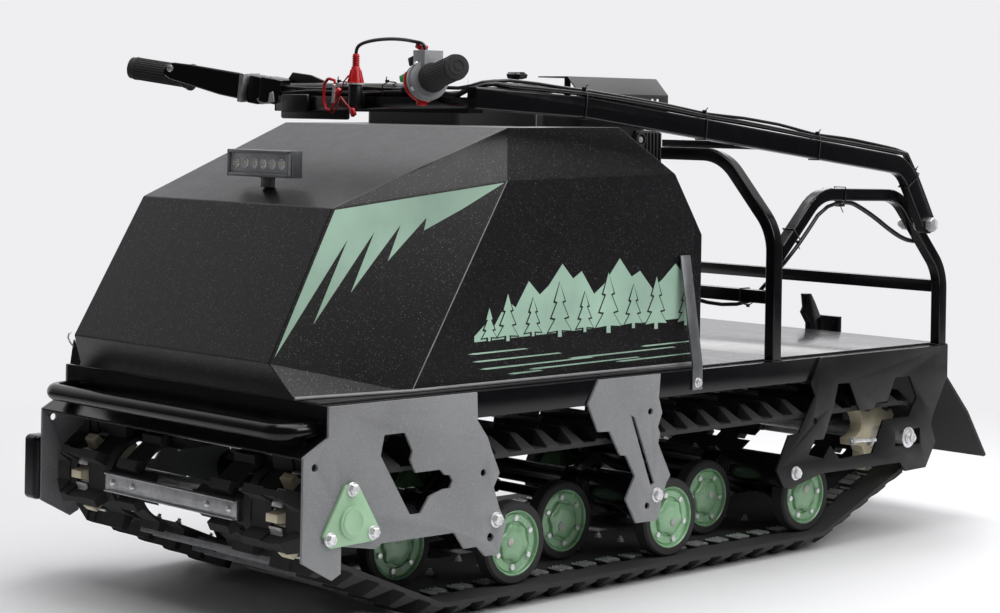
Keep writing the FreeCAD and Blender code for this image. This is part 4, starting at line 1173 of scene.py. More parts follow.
@dataclass
class PlateHardware:
    """Bolts in the side plates: bogie pivots, the drive bearing's cover and the sliding rear axle."""

    pivot: float = 9.5 * MM
    cover: float = 8.2 * MM
    cover_places: tuple[tuple[float, float], ...] = ((0, 42), (-36, -19), (37, -18))
    tensioner: float = 3.2 * MM
    tensioner_nuts: tuple[float, float] = (2 * MM, 50 * MM)

    def build(self) -> None:
        """Fit the bolts on both sides."""
        bolts = Shape()
        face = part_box("front_plates")[1].x
        springs = {round(((low + high) / 2).y, 3): (low + high) / 2 for low, high in islands("bogie_springs")}
        tail = middle("rear_axle")
        for side in (-1, 1):
            out = Vector((side, 0, 0))
            for pivot in springs.values():
                bolts.bolt(Vector((side * face, pivot.y, pivot.z)), out, self.pivot)
            end = Vector((side * face, tail.y, tail.z))
            bolts.lathe(in_mm((0, 17), (1.8, 17), (2.2, 16.4), (2.2, 0)), end, out, 28)
            bolts.bolt(end + out * 6 * MM, out, 8.5 * MM)
            start = Vector((side * (face - 2 * MM), tail.y - 152 * MM, tail.z + 6 * MM))
            bolts.rod(start, start + Vector((0, 66 * MM, -3 * MM)), self.tensioner, 12, 0.6 * MM)
            for shift in self.tensioner_nuts:
                bolts.lathe(in_mm((0, 0), (0, 6.4), (5, 6.4), (5, 0)),
                            start + Vector((0, shift, -0.1 * shift)), Vector((0, 1, -0.05)), 6)
        low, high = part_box("bearing_cover")
        centre = middle("drive_axle")
        for y, z in self.cover_places:
            seat = Vector((low.x + 5 * MM, centre.y, centre.z)) + mm(0, y, z)
            bolts.bolt(seat, LEFT, self.cover)
        bolts.coat(ZINC).piece("plate_bolts", slot="bright_steel")
        cover = Shape()
        cover.lathe(in_mm((-0.5, 18), (1.2, 17.4), (1.6, 15), (0.6, 13), (0.5, 0)),
                    Vector((high.x, centre.y, centre.z)), LEFT, 36)
        cover.coat(GREEN).piece("bearing_cover_boss", slot="green_paint")


# ---------------------------------------------------------------- hood and engine
class Decals:
    """Cut vinyl sheets that lie on the hood's two sides."""

    def __init__(self, lift: float = 0.4 * MM, longest: float = 12.0) -> None:
        """Read the hood's surface.

        Args:
            lift: how far above the paint each layer lies.
            longest: the longest side of a sheet's triangles, in millimetres.
        """
        self.longest = longest
        mesh = bmesh.new()
        mesh.from_mesh(frame["nodes"]["hood"].data)
        self.surface = BVHTree.FromBMesh(mesh)
        mesh.free()
        self.lift = lift

    def sheet(self, shape: Shape, outline: Profile, side: int, layer: int = 1) -> None:
        """Lay a sheet on one side of the hood.

        Args:
            shape: the piece that it is part of.
            outline: its (y, z) corners in millimetres.
            side: 1 for the left side, -1 for the right side.
            layer: which layer of vinyl it is.
        """
        reach: dict[tuple[float, float], tuple] = {}
        edges: dict[frozenset, list] = {}
        for corners in self.split(outline):
            for here in corners:
                if here not in reach:
                    reach[here] = self.land(shape, here, side, layer)
            for index, here in enumerate(corners):
                after = corners[(index + 1) % 3]
                edges.setdefault(frozenset((here, after)), []).append((here, after))
            for level in (0, 1):
                shape.mesh.faces.new([reach[here][level] for here in corners])
        for sides in edges.values():
            if len(sides) == 1:
                here, after = sides[0]
                shape.mesh.faces.new((*reach[here], *reversed(reach[after])))

    def split(self, outline: Profile) -> list[tuple[tuple[float, float], ...]]:
        """Cut an outline into triangles with sides no longer than the limit.

        Args:
            outline: its (y, z) corners in millimetres.

        Returns:
            The triangles, each of three (y, z) corners.
        """
        flat = [Vector((0, y, z)) for y, z in outline]
        waiting = [tuple(outline[index] for index in triple) for triple in tessellate_polygon([flat])]
        done = []
        while waiting:
            first, second, third = waiting.pop()
            turns = ((first, second, third), (second, third, first), (third, first, second))
            start, end, other = max(turns, key=lambda turn: (math.dist(turn[0], turn[1]), max(turn[:2])))
            if math.dist(start, end) <= self.longest:
                done.append((start, end, other))
                continue
            centre = ((start[0] + end[0]) / 2, (start[1] + end[1]) / 2)
            waiting += [(start, centre, other), (centre, end, other)]
        return done

    def land(self, shape: Shape, place: tuple[float, float], side: int, layer: int) -> tuple:
        """Find where a corner lies on the paint, and make its lower and upper vertex there.

        Args:
            shape: the piece that the corner is part of.
            place: the corner's (y, z), in millimetres.
            side: 1 for the left side and -1 for the right.
            layer: which layer of vinyl it is on, from 1.

        Returns:
            The lower vertex and the upper one.
        """
        start = Vector((0.5 * side, place[0] * MM, place[1] * MM))
        hit, normal, _, _ = self.surface.ray_cast(start, Vector((-side, 0, 0)))
        if hit is None:
            hit, normal, _, _ = self.surface.find_nearest(start)
        out = normal if normal.x * side > 0 else -normal
        return (shape.mesh.verts.new(hit + out * (self.lift * (layer - 1) + 0.05 * MM)),
                shape.mesh.verts.new(hit + out * self.lift * layer))


@dataclass
class HoodTrim:
    """The hood's vinyl, its light lower lip, and a light bead down each front crease where its side panels meet, a
    painted highlight on the bent edge.
    """

    brow: tuple[float, float] = (-647.0, 562.0)
    crease: tuple[float, float] = (-373.0, 598.0)
    nose: tuple[float, float] = (-757.0, 363.0)
    spikes: int = 5
    trees: tuple[tuple[float, float, float], ...] = (
        (-408, 352, 46), (-372, 350, 66), (-322, 354, 54), (-268, 350, 78), (-216, 354, 58), (-166, 350, 88),
        (-112, 354, 64), (-62, 350, 78), (4, 352, 60))
    ridge: tuple[tuple[float, float], ...] = ((-436, 384), (-412, 402), (-398, 396), (-372, 430),
                                              (-356, 420), (-330, 456), (-308, 436), (-290, 448),
                                              (-262, 478), (-240, 456), (-222, 466), (-196, 432),
                                              (-174, 446), (-142, 482), (-116, 454), (-98, 462),
                                              (-70, 434), (-48, 448), (-20, 470), (8, 446), (28, 452),
                                              (28, 388), (-436, 376))
    stripes: tuple[tuple[float, float, float], ...] = (
        (-440, -262, 349), (-448, -330, 360), (-426, -196, 338), (-330, -96, 332), (-250, -16, 342),
        (-150, 26, 331), (-372, -300, 328), (-96, 20, 350))
    rear_strip: tuple[tuple[float, float, float], ...] = (
        (268.6, 19.6, 543.5), (270, 39, 512), (270, 39, 315.6), (270.2, 19.6, 315.6))
    sheet: float = 2.5
    lip: float = 2.3 * MM
    seam_highlight: float = 0.8 * MM

    def flash(self, decals: Decals, shape: Shape, side: int) -> None:
        """Lay the flash of narrowing spikes across the front facet.

        Args:
            decals: the paint's surface.
            shape: the piece that it is part of.
            side: 1 for the left side and -1 for the right.
        """
        across = (self.crease[0] - self.brow[0], self.crease[1] - self.brow[1])
        down = (self.nose[0] - self.brow[0], self.nose[1] - self.brow[1])
        shares = [(0.02, 0.015), (0.985, 0.012)]
        for step in reversed(range(self.spikes)):
            shares.append((0.165 + 0.14 * step + (0.06 if step == self.spikes - 1 else 0),
                           0.235 - 0.02 * step))
            shares.append((0.145 * step + 0.02, 0.965 - 0.175 * step))
        outline = [(self.brow[0] + u * across[0] + v * down[0], self.brow[1] + u * across[1] + v * down[1])
                   for u, v in shares]
        decals.sheet(shape, outline, side)

    def spruce(self, at: float, foot: float, tall: float, grow: float = 0.0) -> Profile:
        """The outline of a spruce with three tiers.

        Args:
            at: the Y of its trunk.
            foot: its lowest Z.
            tall: its height.
            grow: how much wider the outline is all round.

        Returns:
            The (y, z) corners.
        """
        half = tall * 0.3
        tiers = [(0.0, 1.0), (0.42, 0.66), (0.2, 0.64), (0.72, 0.36), (0.36, 0.34), (1.0, 0.1), (0.16, 0.12),
                 (0.16, 0.0)]
        right = [(at + share * half + (grow if share else 0),
                  foot + high * tall + (grow if high == 1.0 else 0)) for share, high in tiers]
        left = [(2 * at - y, z) for y, z in reversed(right[1:])]
        return right + left

    def art(self, decals: Decals, shape: Shape, ground: Shape, side: int) -> None:
        """Lay the side's artwork: a ridge with spruces before it, over snow-drift stripes.

        Args:
            decals: the paint's surface.
            shape: the piece for the ridge, the spruces and the stripes.
            ground: the piece for the dark rims that set the spruces off from the ridge.
            side: 1 for the left side and -1 for the right.
        """
        decals.sheet(shape, self.ridge, side)
        for at, foot, tall in self.trees:
            decals.sheet(ground, self.spruce(at, foot + 22, tall, 3.2), side, 2)
            decals.sheet(shape, self.spruce(at, foot + 24, tall), side, 3)
        for start, end, z in self.stripes:
            top = z + (end - start) * 0.012
            decals.sheet(shape, [(start, z), (start + 14, z - 1.2), (end, top - 0.8), (end - 8, top + 0.6),
                                 (start + 10, z + 1.0)], side)

    def lip_and_seam_highlights(self) -> None:
        """Run the light lip, and the light beads down the front creases, which are painted highlights on the bent
        edge.
        """
        low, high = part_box("hood")
        half, level = high.x, low.z + 2.5 * MM
        crease = Vector((0, self.crease[0] * MM, self.crease[1] * MM))
        for side, name in ((-1, "right"), (1, "left")):
            corner = Vector((side * half, -550 * MM, level))
            lip = Shape()
            lip.sweep([Vector((side * (half - 28 * MM), -730 * MM, level)), corner,
                       Vector((side * (half - 5 * MM), 39 * MM, level))], self.lip, 8)
            lip.coat(LIP_TRIM_AND_SEAM_HIGHLIGHT).piece(f"hood_lip_{name}")
            # A light bead down the crease: a painted highlight on the hood's bent edge.
            seam_highlight = Shape()
            seam_highlight.sweep([Vector((side * (half - 7 * MM), crease.y, crease.z)),
                        Vector((corner.x, corner.y, low.z + 4 * MM))], self.seam_highlight, 6)
            seam_highlight.coat(LIP_TRIM_AND_SEAM_HIGHLIGHT).piece(f"hood_seam_highlight_{name}")

    def rear_strips(self) -> None:
        """Carry the hood's side sheets on to their rear edge."""
        strips = Shape()
        for side in (-1, 1):
            outline = [mm(side * x, y, z) for x, y, z in self.rear_strip]
            strips.slab(outline, mm(-self.sheet * side, 0, 0), 0.5 * MM)
        strips.coat(HOOD_BLACK).piece("hood_rear_strips", slot="hood_paint")

    def build(self) -> None:
        """Dress both sides of the hood."""
        decals = Decals()
        vinyl, ground = Shape(), Shape()
        for side in (-1, 1):
            self.flash(decals, vinyl, side)
            self.art(decals, vinyl, ground, side)
        vinyl.coat(PALE_GREEN).piece("hood_vinyl", crease=20.0)
        ground.coat(BLACK_VINYL).piece("hood_vinyl_ground", crease=20.0)
        self.lip_and_seam_highlights()
        self.rear_strips()


@dataclass
class LightBar:
    """The lamp on the brow: a finned case with a bezel, six diodes in reflectors and a foot."""

    diodes: int = 6
    fins: int = 9
    fin_pitch: float = 2.1 * MM
    bezel: float = 5.0 * MM
    bezel_deep: float = 5.0 * MM
    cup: float = 7.6 * MM
    tall: float = 38 * MM
    pin: float = 5.0 * MM
    shift: Vector = field(default_factory=lambda: mm(14, 0, 3))

    def case(self, lamp: Shape, low: Vector, high: Vector, ground: float) -> None:
        """Add the finned case, its bezel and its foot.

        Args:
            lamp: the piece that they are part of.
            low: the case's lowest corner.
            high: the case's highest corner.
            ground: the height that the foot stands on.
        """
        centre, (wide, deep, tall) = (low + high) / 2, high - low
        front, half = low.y, (high - low) / 2
        lamp.box(Vector((centre.x, front + deep / 2 + 3 * MM, centre.z)),
                 Vector((wide - 4 * MM, deep - 6 * MM, tall - 3 * MM)), 2.5 * MM)
        for step in range(self.fins):
            y = front + 8 * MM + step * self.fin_pitch
            lamp.box(Vector((centre.x, y, centre.z)), Vector((wide, 0.9 * MM, tall)), 0.2 * MM)
        lip = front + self.bezel_deep / 2
        for side in (-1, 1):
            z = centre.z + side * (half.z - self.bezel / 2)
            lamp.box(Vector((centre.x, lip, z)), Vector((wide, self.bezel_deep, self.bezel)), 1.4 * MM)
        for side in (-1, 1):
            x = centre.x + side * (half.x - self.bezel / 2)
            lamp.box(Vector((x, lip, centre.z)), Vector((self.bezel, self.bezel_deep, tall)), 1.4 * MM)
        foot = low.z - ground
        lamp.box(Vector((centre.x, centre.y + 6 * MM, ground + foot / 2)),
                 Vector((24 * MM, 8 * MM, foot + 2 * MM)), 0.8 * MM)
        pin = Vector((centre.x, centre.y + 6 * MM, low.z + 3 * MM))
        lamp.rod(pin - mm(16, 0, 0), pin + mm(16, 0, 0), self.pin, 16, 1 * MM)
        lamp.coat(LAMP_GREY)

    def build(self) -> None:
        """Build the lamp in place of the plain one."""
        plain_low, plain_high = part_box("lamp")
        high = plain_high + self.shift
        low = Vector((plain_low.x + self.shift.x, plain_low.y, high.z - self.tall))
        lamp = Shape()
        self.case(lamp, low, high, plain_low.z)
        centre, wide = (low + high) / 2, high.x - low.x
        pitch = (wide - 2 * self.bezel - 6 * MM) / self.diodes
        places = [Vector((centre.x + (step - (self.diodes - 1) / 2) * pitch, low.y, centre.z))
                  for step in range(self.diodes)]
        for place in places:
            lamp.lathe([(5.0 * MM, self.cup), (2.8 * MM, self.cup), (2.8 * MM, self.cup * 0.9),
                        (3.6 * MM, self.cup * 0.5), (3.6 * MM, 0)], place, REAR, 20)
        lamp.coat(MIRROR)
        for place in places:
            lamp.lathe(in_mm((2.4, 0), (2.5, 2.2), (4.0, 2.8)), place, REAR, 10)
        lamp.coat(CHIP)
        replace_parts(lamp.piece("light_bar", slot="lamp_metal"), "lamp")
        window = Shape()
        window.box(Vector((centre.x, low.y + 4.6 * MM, centre.z)),
                   Vector((wide - 2 * self.bezel + 1 * MM, 1.6 * MM, self.tall - 2 * self.bezel + 1 * MM)),
                   0.4 * MM)
        window.coat(FROSTED).piece("light_bar_window")


@dataclass
class EngineTop:
    """What shows of the engine above the hood: the tank's cap and the filter's lobed nut."""

    cap_ribs: int = 14
    cap_place: tuple[float, float] = (-120 * MM, -140 * MM)
    rib_ring: float = 24 * MM
    nut_y: float = 35 * MM

    def build(self) -> None:
        """Add the ribs of the tank's cap and the filter's lobed nut."""
        cap = Vector((*self.cap_place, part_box("fuel_tank")[1].z))
        top = Shape()
        for cosine, sine in circle(self.cap_ribs):
            foot = cap + Vector((cosine, sine, 0)) * self.rib_ring
            top.rod(foot - mm(0, 0, 13), foot - mm(0, 0, 1), 1.6 * MM, 6)
        top.lathe(in_mm((-1.4, 18), (-0.2, 17), (-0.2, 0)), cap, UP, 28)
        top.coat(BLACK_PLASTIC).piece("tank_cap_ribs", slot="engine_black")
        nut = Shape()
        centre = Vector((middle("air_filter").x, self.nut_y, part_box("air_filter")[1].z))
        nut.lathe(in_mm((-12, 8), (-10, 15), (-4, 16.5), (-0.6, 12), (-0.2, 0)), centre, UP, 40,
                  turn=0.2, lobes=5, lobe=0.16)
        nut.lathe(in_mm((-12, 7), (-5, 6), (-4, 0)), centre, UP, 16)
        nut.coat(BLACK_PLASTIC).piece("filter_wing_nut", slot="engine_black")


@dataclass
class FrameTrim:
    """Weld beads round the tubes' feet, the wire hook's bracket by the hood's nose, and the straps' bolts."""

    bead: float = 1.7 * MM
    tube: float = 20 * MM
    lump: float = 0.35 * MM
    strap_bolt: float = 6.5 * MM

    def ring(self, shape: Shape, centre: Vector, lumps: int = 44) -> None:
        """Lay a lumpy bead round a square foot.

        Args:
            shape: the piece that it is part of.
            centre: the middle of the foot, on the plate.
            lumps: how many points it is laid through.
        """
        half = self.tube / 2 + 0.3 * MM
        path = []
        for step in range(lumps):
            share = 4 * step / lumps
            edge, along = int(share), 2 * (share - int(share)) - 1
            corner = ((along, -1), (1, along), (-along, 1), (-1, -along))[edge]
            wave = self.lump * math.sin(step * 2.3)
            path.append(centre + Vector((corner[0] * (half + wave), corner[1] * (half + wave),
                                         0.5 * MM + wave * 0.5)))
        shape.sweep(path, self.bead, 6, True)

    def build(self) -> None:
        """Add the beads, the bracket with its hook and the bolts."""
        low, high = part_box("middle_hoop")
        arch_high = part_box("side_arches")[1]
        x = high.x - self.tube / 2
        beads = Shape()
        for side in (-1, 1):
            self.ring(beads, Vector((side * x, (low.y + high.y) / 2, low.z)))
            self.ring(beads, Vector((side * x, arch_high.y - self.tube / 2, low.z)))
        beads.coat(GLOSS_BLACK).piece("weld_beads", slot="frame_paint", crease=70.0)
        bracket = Shape()
        corners = route((-292, -720, 313), (-254, -720, 313), (-268, -720, 336), (-284, -720, 350))
        bracket.slab(corners, mm(0, 3, 0), 0.6 * MM)
        bracket.coat(GLOSS_BLACK).piece("hook_bracket", slot="frame_paint")
        hook = Shape()
        hook.sweep(route((-280, -722, 340), (-280, -728, 346), (-281, -731, 353), (-283, -728, 359),
                         (-286, -723, 360)), 1.4 * MM, 8)
        hook.coat(ZINC).piece("wire_hook", slot="bright_steel")
        bolts = Shape()
        strap_low, strap_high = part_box("hood_straps")
        for side in (-1, 1):
            y = (strap_low.y + strap_high.y) / 2
            bolts.bolt(Vector((side * (strap_high.x + 0.1 * MM), y, strap_low.z + 11 * MM)),
                       Vector((side, 0, 0)), self.strap_bolt)
        bolts.coat(ZINC).piece("strap_bolts", slot="bright_steel")


# ---------------------------------------------------------------- handle and controls
@dataclass
class Bar:
    """The handlebar's centre line, from its straight middle run to its raised ends."""

    bend: float = 150 * MM
    half: float = 369 * MM
    radius: float = 11 * MM
    grip: float = 97 * MM
    grip_radius: float = 16.5 * MM
    centre: tuple[float, float] = (-466 * MM, 721 * MM)
    end: tuple[float, float] = (-565 * MM, 752.5 * MM)

    def at(self, x: float) -> Vector:
        """Find a point of the centre line.

        Args:
            x: its distance from the middle plane, with its sign.

        Returns:
            The point.
        """
        share = max(0.0, (abs(x) - self.bend) / (self.half - self.bend))
        return Vector((x, self.centre[0] + share * (self.end[0] - self.centre[0]),
                       self.centre[1] + share * (self.end[1] - self.centre[1])))

    def way(self, side: int) -> Vector:
        """The way that one of the raised ends points."""
        return (self.at(side * self.half) - self.at(side * self.bend)).normalized()

    def frame(self, side: int) -> tuple[Vector, Vector]:
        """Find the two ways square to one of the raised ends.

        Args:
            side: 1 for the left end and -1 for the right.

        Returns:
            The way ahead of it and the way up from it.
        """
        way = self.way(side)
        ahead = facing(AHEAD, way)
        up = way.cross(ahead)
        return ahead, up if up.z > 0 else -up


@dataclass
class Wiring:
    """The cable bundle along the handlebar and the arm, its zip ties and the cables on the frame."""

    bar: Bar
    sheaths: tuple[tuple[float, float, float], ...] = (
        (0, 0, 3.6), (1.3, 0.2, 3.0), (-1.3, 0.2, 3.0), (0.2, 1.5, 2.6))
    arm_ties: tuple[float, ...] = (-275, -17, 253, 512)
    bar_ties: tuple[float, ...] = (-132, 26, 132)
    tie: float = 1.1 * MM
    tail: float = 0.8 * MM
    arm_x: float = 316
    arm_half: float = 15
    arm_corners: tuple[tuple[float, float], ...] = (
        (547.0, 518.5), (482.0, 616.5), (-276.0, 702.5), (-489.0, 712.5))
    bar_run: tuple[float, float, int] = (-205, 27, 19)
    arm_run: tuple[float, float, int] = (-420, 27.5, 33)
    slack: float = 0.022
    near_corner: tuple[tuple[float, float, float], ...] = ((296, -474, 724), (306, -462, 729),
                                                           (311, -446, 731))
    rear_bend: tuple[tuple[float, float], ...] = ((488, 636), (516, 600), (544, 557.6), (564, 526))

    def arm_line(self, y: float) -> Vector:
        """Find the middle of the arm's top face.

        Args:
            y: where along the arm, in millimetres.

        Returns:
            The point.
        """
        for (rear, low), (front, high) in zip(self.arm_corners, self.arm_corners[1:]):
            if y >= front:
                share = (rear - y) / (rear - front)
                lean = math.hypot(rear - front, high - low) / (rear - front)
                return mm(self.arm_x, y, low + share * (high - low) + self.arm_half * lean)
        return mm(self.arm_x, y, self.arm_corners[-1][1] + self.arm_half)

    def bundle(self) -> None:
        """Run each cable from the far lever along the bar, round the near corner and back along the arm."""
        cables = Shape()
        for index, (aside, up, radius) in enumerate(self.sheaths):
            path = []
            first, pitch, count = self.bar_run
            for step in range(count):
                x = first + step * pitch
                sag = 1.6 * math.sin(step * 0.9 + index * 1.7)
                place = self.bar.at(min(x, 150) * MM)
                path.append(place + mm(max(0, x - 150), -14.5 - 2.6 * aside, -4 + 5 * up + sag))
            for x, y, z in self.near_corner:
                path.append(mm(x + 3 * aside, y + 2 * aside, z + 2.4 * up + 1))
            first, pitch, count = self.arm_run
            for step in range(count):
                y = first + step * pitch
                between = min(abs(y - tie) for tie in self.arm_ties)
                wave = 1 + 0.5 * math.sin(index * 2.1 + y * 0.009)
                lift = self.slack * min(between, 90) * (0.3 + 0.45 * index) * wave
                path.append(self.arm_line(y) + mm(1 + 4.2 * aside, 0, radius + 0.6 + 3.6 * up + lift))
            for y, z in self.rear_bend:
                path.append(mm(317 + 2.6 * aside, y + 1.2 * up, z + 0.8 * up))
            cables.sweep(path, radius * MM, 8)
        cables.coat(CABLE_AND_VENT_SHADE).piece("cable_bundle", Body.HANDLE, "cable_rubber", 70.0)

    def ties(self) -> None:
        """Pull zip ties round the bundle, each with its lock and cut tail."""
        ties = Shape()
        for y in self.arm_ties:
            top = self.arm_line(y)
            lean = Vector((0, -1, 0.113)) if y < 470 else Vector((0, -0.55, 0.83))
            up = LEFT.cross(lean.normalized())
            up = up if up.z > 0 else -up
            ring = [(-9.8, -31), (9.8, -31), (10.2, -16), (10.2, 0), (7, 9), (0, 12), (-7, 9), (-10.2, 0),
                    (-10.2, -16)]
            ties.sweep([top + LEFT * (x * MM) + up * (z * MM) for x, z in ring], self.tie, 6, True)
            ties.box(top + mm(4, 0, 12), mm(5, 5, 3.4), 0.5 * MM)
            ties.sweep([top + mm(5, 0, 12), top + mm(7, 1, 15), top + mm(8, 3, 17)], self.tail, 5)
        for x in self.bar_ties:
            centre = self.bar.at(x * MM)
            ring = [(0, 12.4), (9, 9), (12.4, 0), (9, -9), (0, -13), (-12, -12), (-23, -4), (-23, 8),
                    (-12, 13)]
            ties.sweep([centre + mm(0, y, z) for y, z in ring], self.tie, 6, True)
            ties.box(centre + mm(0, -14, 14), mm(4, 5, 3.4), 0.5 * MM)
            ties.sweep([centre + mm(0, -15, 15), centre + mm(1, -17, 18), centre + mm(2, -16, 20)],
                       self.tail, 5)
        ties.coat(BLACK_PLASTIC).piece("zip_ties", Body.HANDLE, "control_plastic", 60.0)

    def frame_cable(self) -> None:
        """Run the cable on from the arch's front post to the engine, under the hoop's lower bar."""
        cable = Shape()
        cable.sweep(route((276, 377, 556.5), (281, 368, 556.5), (290, 354, 556), (295, 334, 555.5),
                          (296, 312, 551), (296, 288, 538), (296, 262, 513), (295, 236, 488),
                          (291, 214, 466), (283, 205, 452), (272, 203, 438), (260, 203, 428),
                          (245, 202, 413), (228, 202, 400), (205, 201, 394), (175, 200, 391.5),
                          (148, 196, 393), (128, 150, 405), (110, 68, 430)), 3.2 * MM, 8)
        cable.coat(CABLE_AND_VENT_SHADE).piece("frame_cable", slot="cable_rubber", crease=70.0)
        ties = Shape()
        rings = (((350, 571), (0, -1)), ((228, 510), (0.697, -0.717)))
        for (y, z), (under_y, under_z) in rings:
            ring = [mm(291 + aside, y + down * under_y, z + down * under_z)
                    for aside, down in ((-11, -11), (11, -11), (11, 11), (7, 18), (1, 18), (-11, 11))]
            ties.sweep(ring, self.tie, 6, True)
            ties.box(ring[4], mm(4, 4, 4), 0.6 * MM)
            ties.sweep([ring[4], ring[4] + mm(1, 3, -7), ring[4] + mm(1, 7, -12)], self.tail, 5)
        ring = [mm(232, y, z) for y, z in ((176, 400), (176, 422), (198, 422), (207, 412), (207, 398),
                                           (196, 394))]
        ties.sweep(ring, self.tie, 6, True)
        ties.box(ring[5], mm(5, 4, 5), 0.6 * MM)
        ties.coat(BLACK_PLASTIC).piece("frame_ties", slot="control_plastic", crease=60.0)

    def build(self) -> None:
        """Lay the cables and the ties."""
        self.bundle()
        self.ties()
        self.frame_cable()


@dataclass
class Grips:
    """Rubber grips with fine ridges, a flange and a ringed end."""

    bar: Bar
    ridges: int = 28
    ridge: float = 0.9 * MM

    def build(self) -> None:
        """Mould the ridges and the end rings on both grips."""
        rubber = Shape()
        for side in (-1, 1):
            way = self.bar.way(side)
            end = self.bar.at(side * self.bar.half)
            across, aside = square_to(way)
            radius = self.bar.grip_radius
            long = self.bar.grip / abs(way.x)
            for cosine, sine in circle(self.ridges):
                out = (across * cosine + aside * sine) * radius
                rubber.rod(end - way * (long - 16 * MM) + out, end - way * 12 * MM + out, self.ridge, 5)
            for back, wide in ((long - 10 * MM, 1.6), (9 * MM, 1.2)):
                rubber.lathe([(-2 * MM, radius - 1 * MM), (-1.4 * MM, radius + wide * MM),
                              (1.4 * MM, radius + wide * MM), (2 * MM, radius - 1 * MM)], end - way * back,
                              way, 32)
            rubber.lathe(in_mm((-0.4, 11.5), (0.9, 11), (0.9, 8.4), (0.1, 8), (0.1, 4.6), (0.9, 4.2),
                               (1.1, 0)), end, way, 28)
        rubber.coat(GRIP_RUBBER).piece("grip_ridges", Body.HANDLE, "grip_rubber", 45.0)


@dataclass
class ThrottleDetails:
    """What shows on the near control: a red lever and cap, a black switch, a green plug and two screws."""

    bar: Bar
    lever_ring: float = 27 * MM
    ring_x: float = 244 * MM
    cap_x: float = 240 * MM
    collar_x: float = 235 * MM
    switch_x: float = 222 * MM
    plug_x: float = 190 * MM
    screw_places: tuple[tuple[float, float, float], ...] = ((254, -22, 22), (252, -27, -12))

    def build(self) -> None:
        """Add the parts round the housing."""
        way = self.bar.way(1)
        start = self.bar.at(self.ring_x)
        ahead, up = self.bar.frame(1)
        red = Shape()
        arc = []
        for step in range(12):
            angle = math.radians(150 + step * 12)
            out = ahead * math.cos(angle + math.pi) + up * math.sin(angle)
            arc.append(start - way * 6 * MM + out * self.lever_ring)
        red.sweep(arc, 2.6 * MM, 8)
        red.box(arc[-3] - up * 3 * MM, mm(9, 14, 8), 2.0 * MM)
        red.box(self.bar.at(self.cap_x) + mm(0, -6, 47), mm(13, 14, 8), 2.0 * MM,
                Matrix.Rotation(0.4, 3, "Y"))
        red.coat(RED_PLASTIC).piece("throttle_red_parts", Body.HANDLE, "red_plastic")
        black = Shape()
        black.box(self.bar.at(self.switch_x) + mm(-6, -4, 31), mm(15, 14, 12), 1.6 * MM,
                  Matrix.Rotation(-0.3, 3, "Y"))
        black.lathe(in_mm((0, 0), (0, 27.2), (2.4, 27.2), (2.4, 0)), self.bar.at(self.collar_x), way, 40)
        black.coat(BLACK_PLASTIC).piece("throttle_black_parts", Body.HANDLE, "control_plastic")
        green = Shape()
        low = self.bar.at(self.plug_x) + mm(-4, -8, 13)
        green.box(low, mm(18, 12, 10), 2.2 * MM, Matrix.Rotation(-0.35, 3, "Y"))
        green.rod(low + mm(6, -2, -2), low + mm(14, -6, -8), 4.5 * MM, 12, 1.2 * MM)
        green.coat(BRIGHT_GREEN).piece("plug_connector", Body.HANDLE)
        screws = Shape()
        for x, y, z in self.screw_places:
            place = self.bar.at(x * MM) + mm(0, y * 0.98, z)
            screws.lathe(in_mm((0, 3.2), (1.4, 3.0), (1.9, 1.8), (1.9, 0)), place, Vector((0, y, z)), 12)
        screws.coat(ZINC).piece("throttle_screws", Body.HANDLE, "bright_steel")


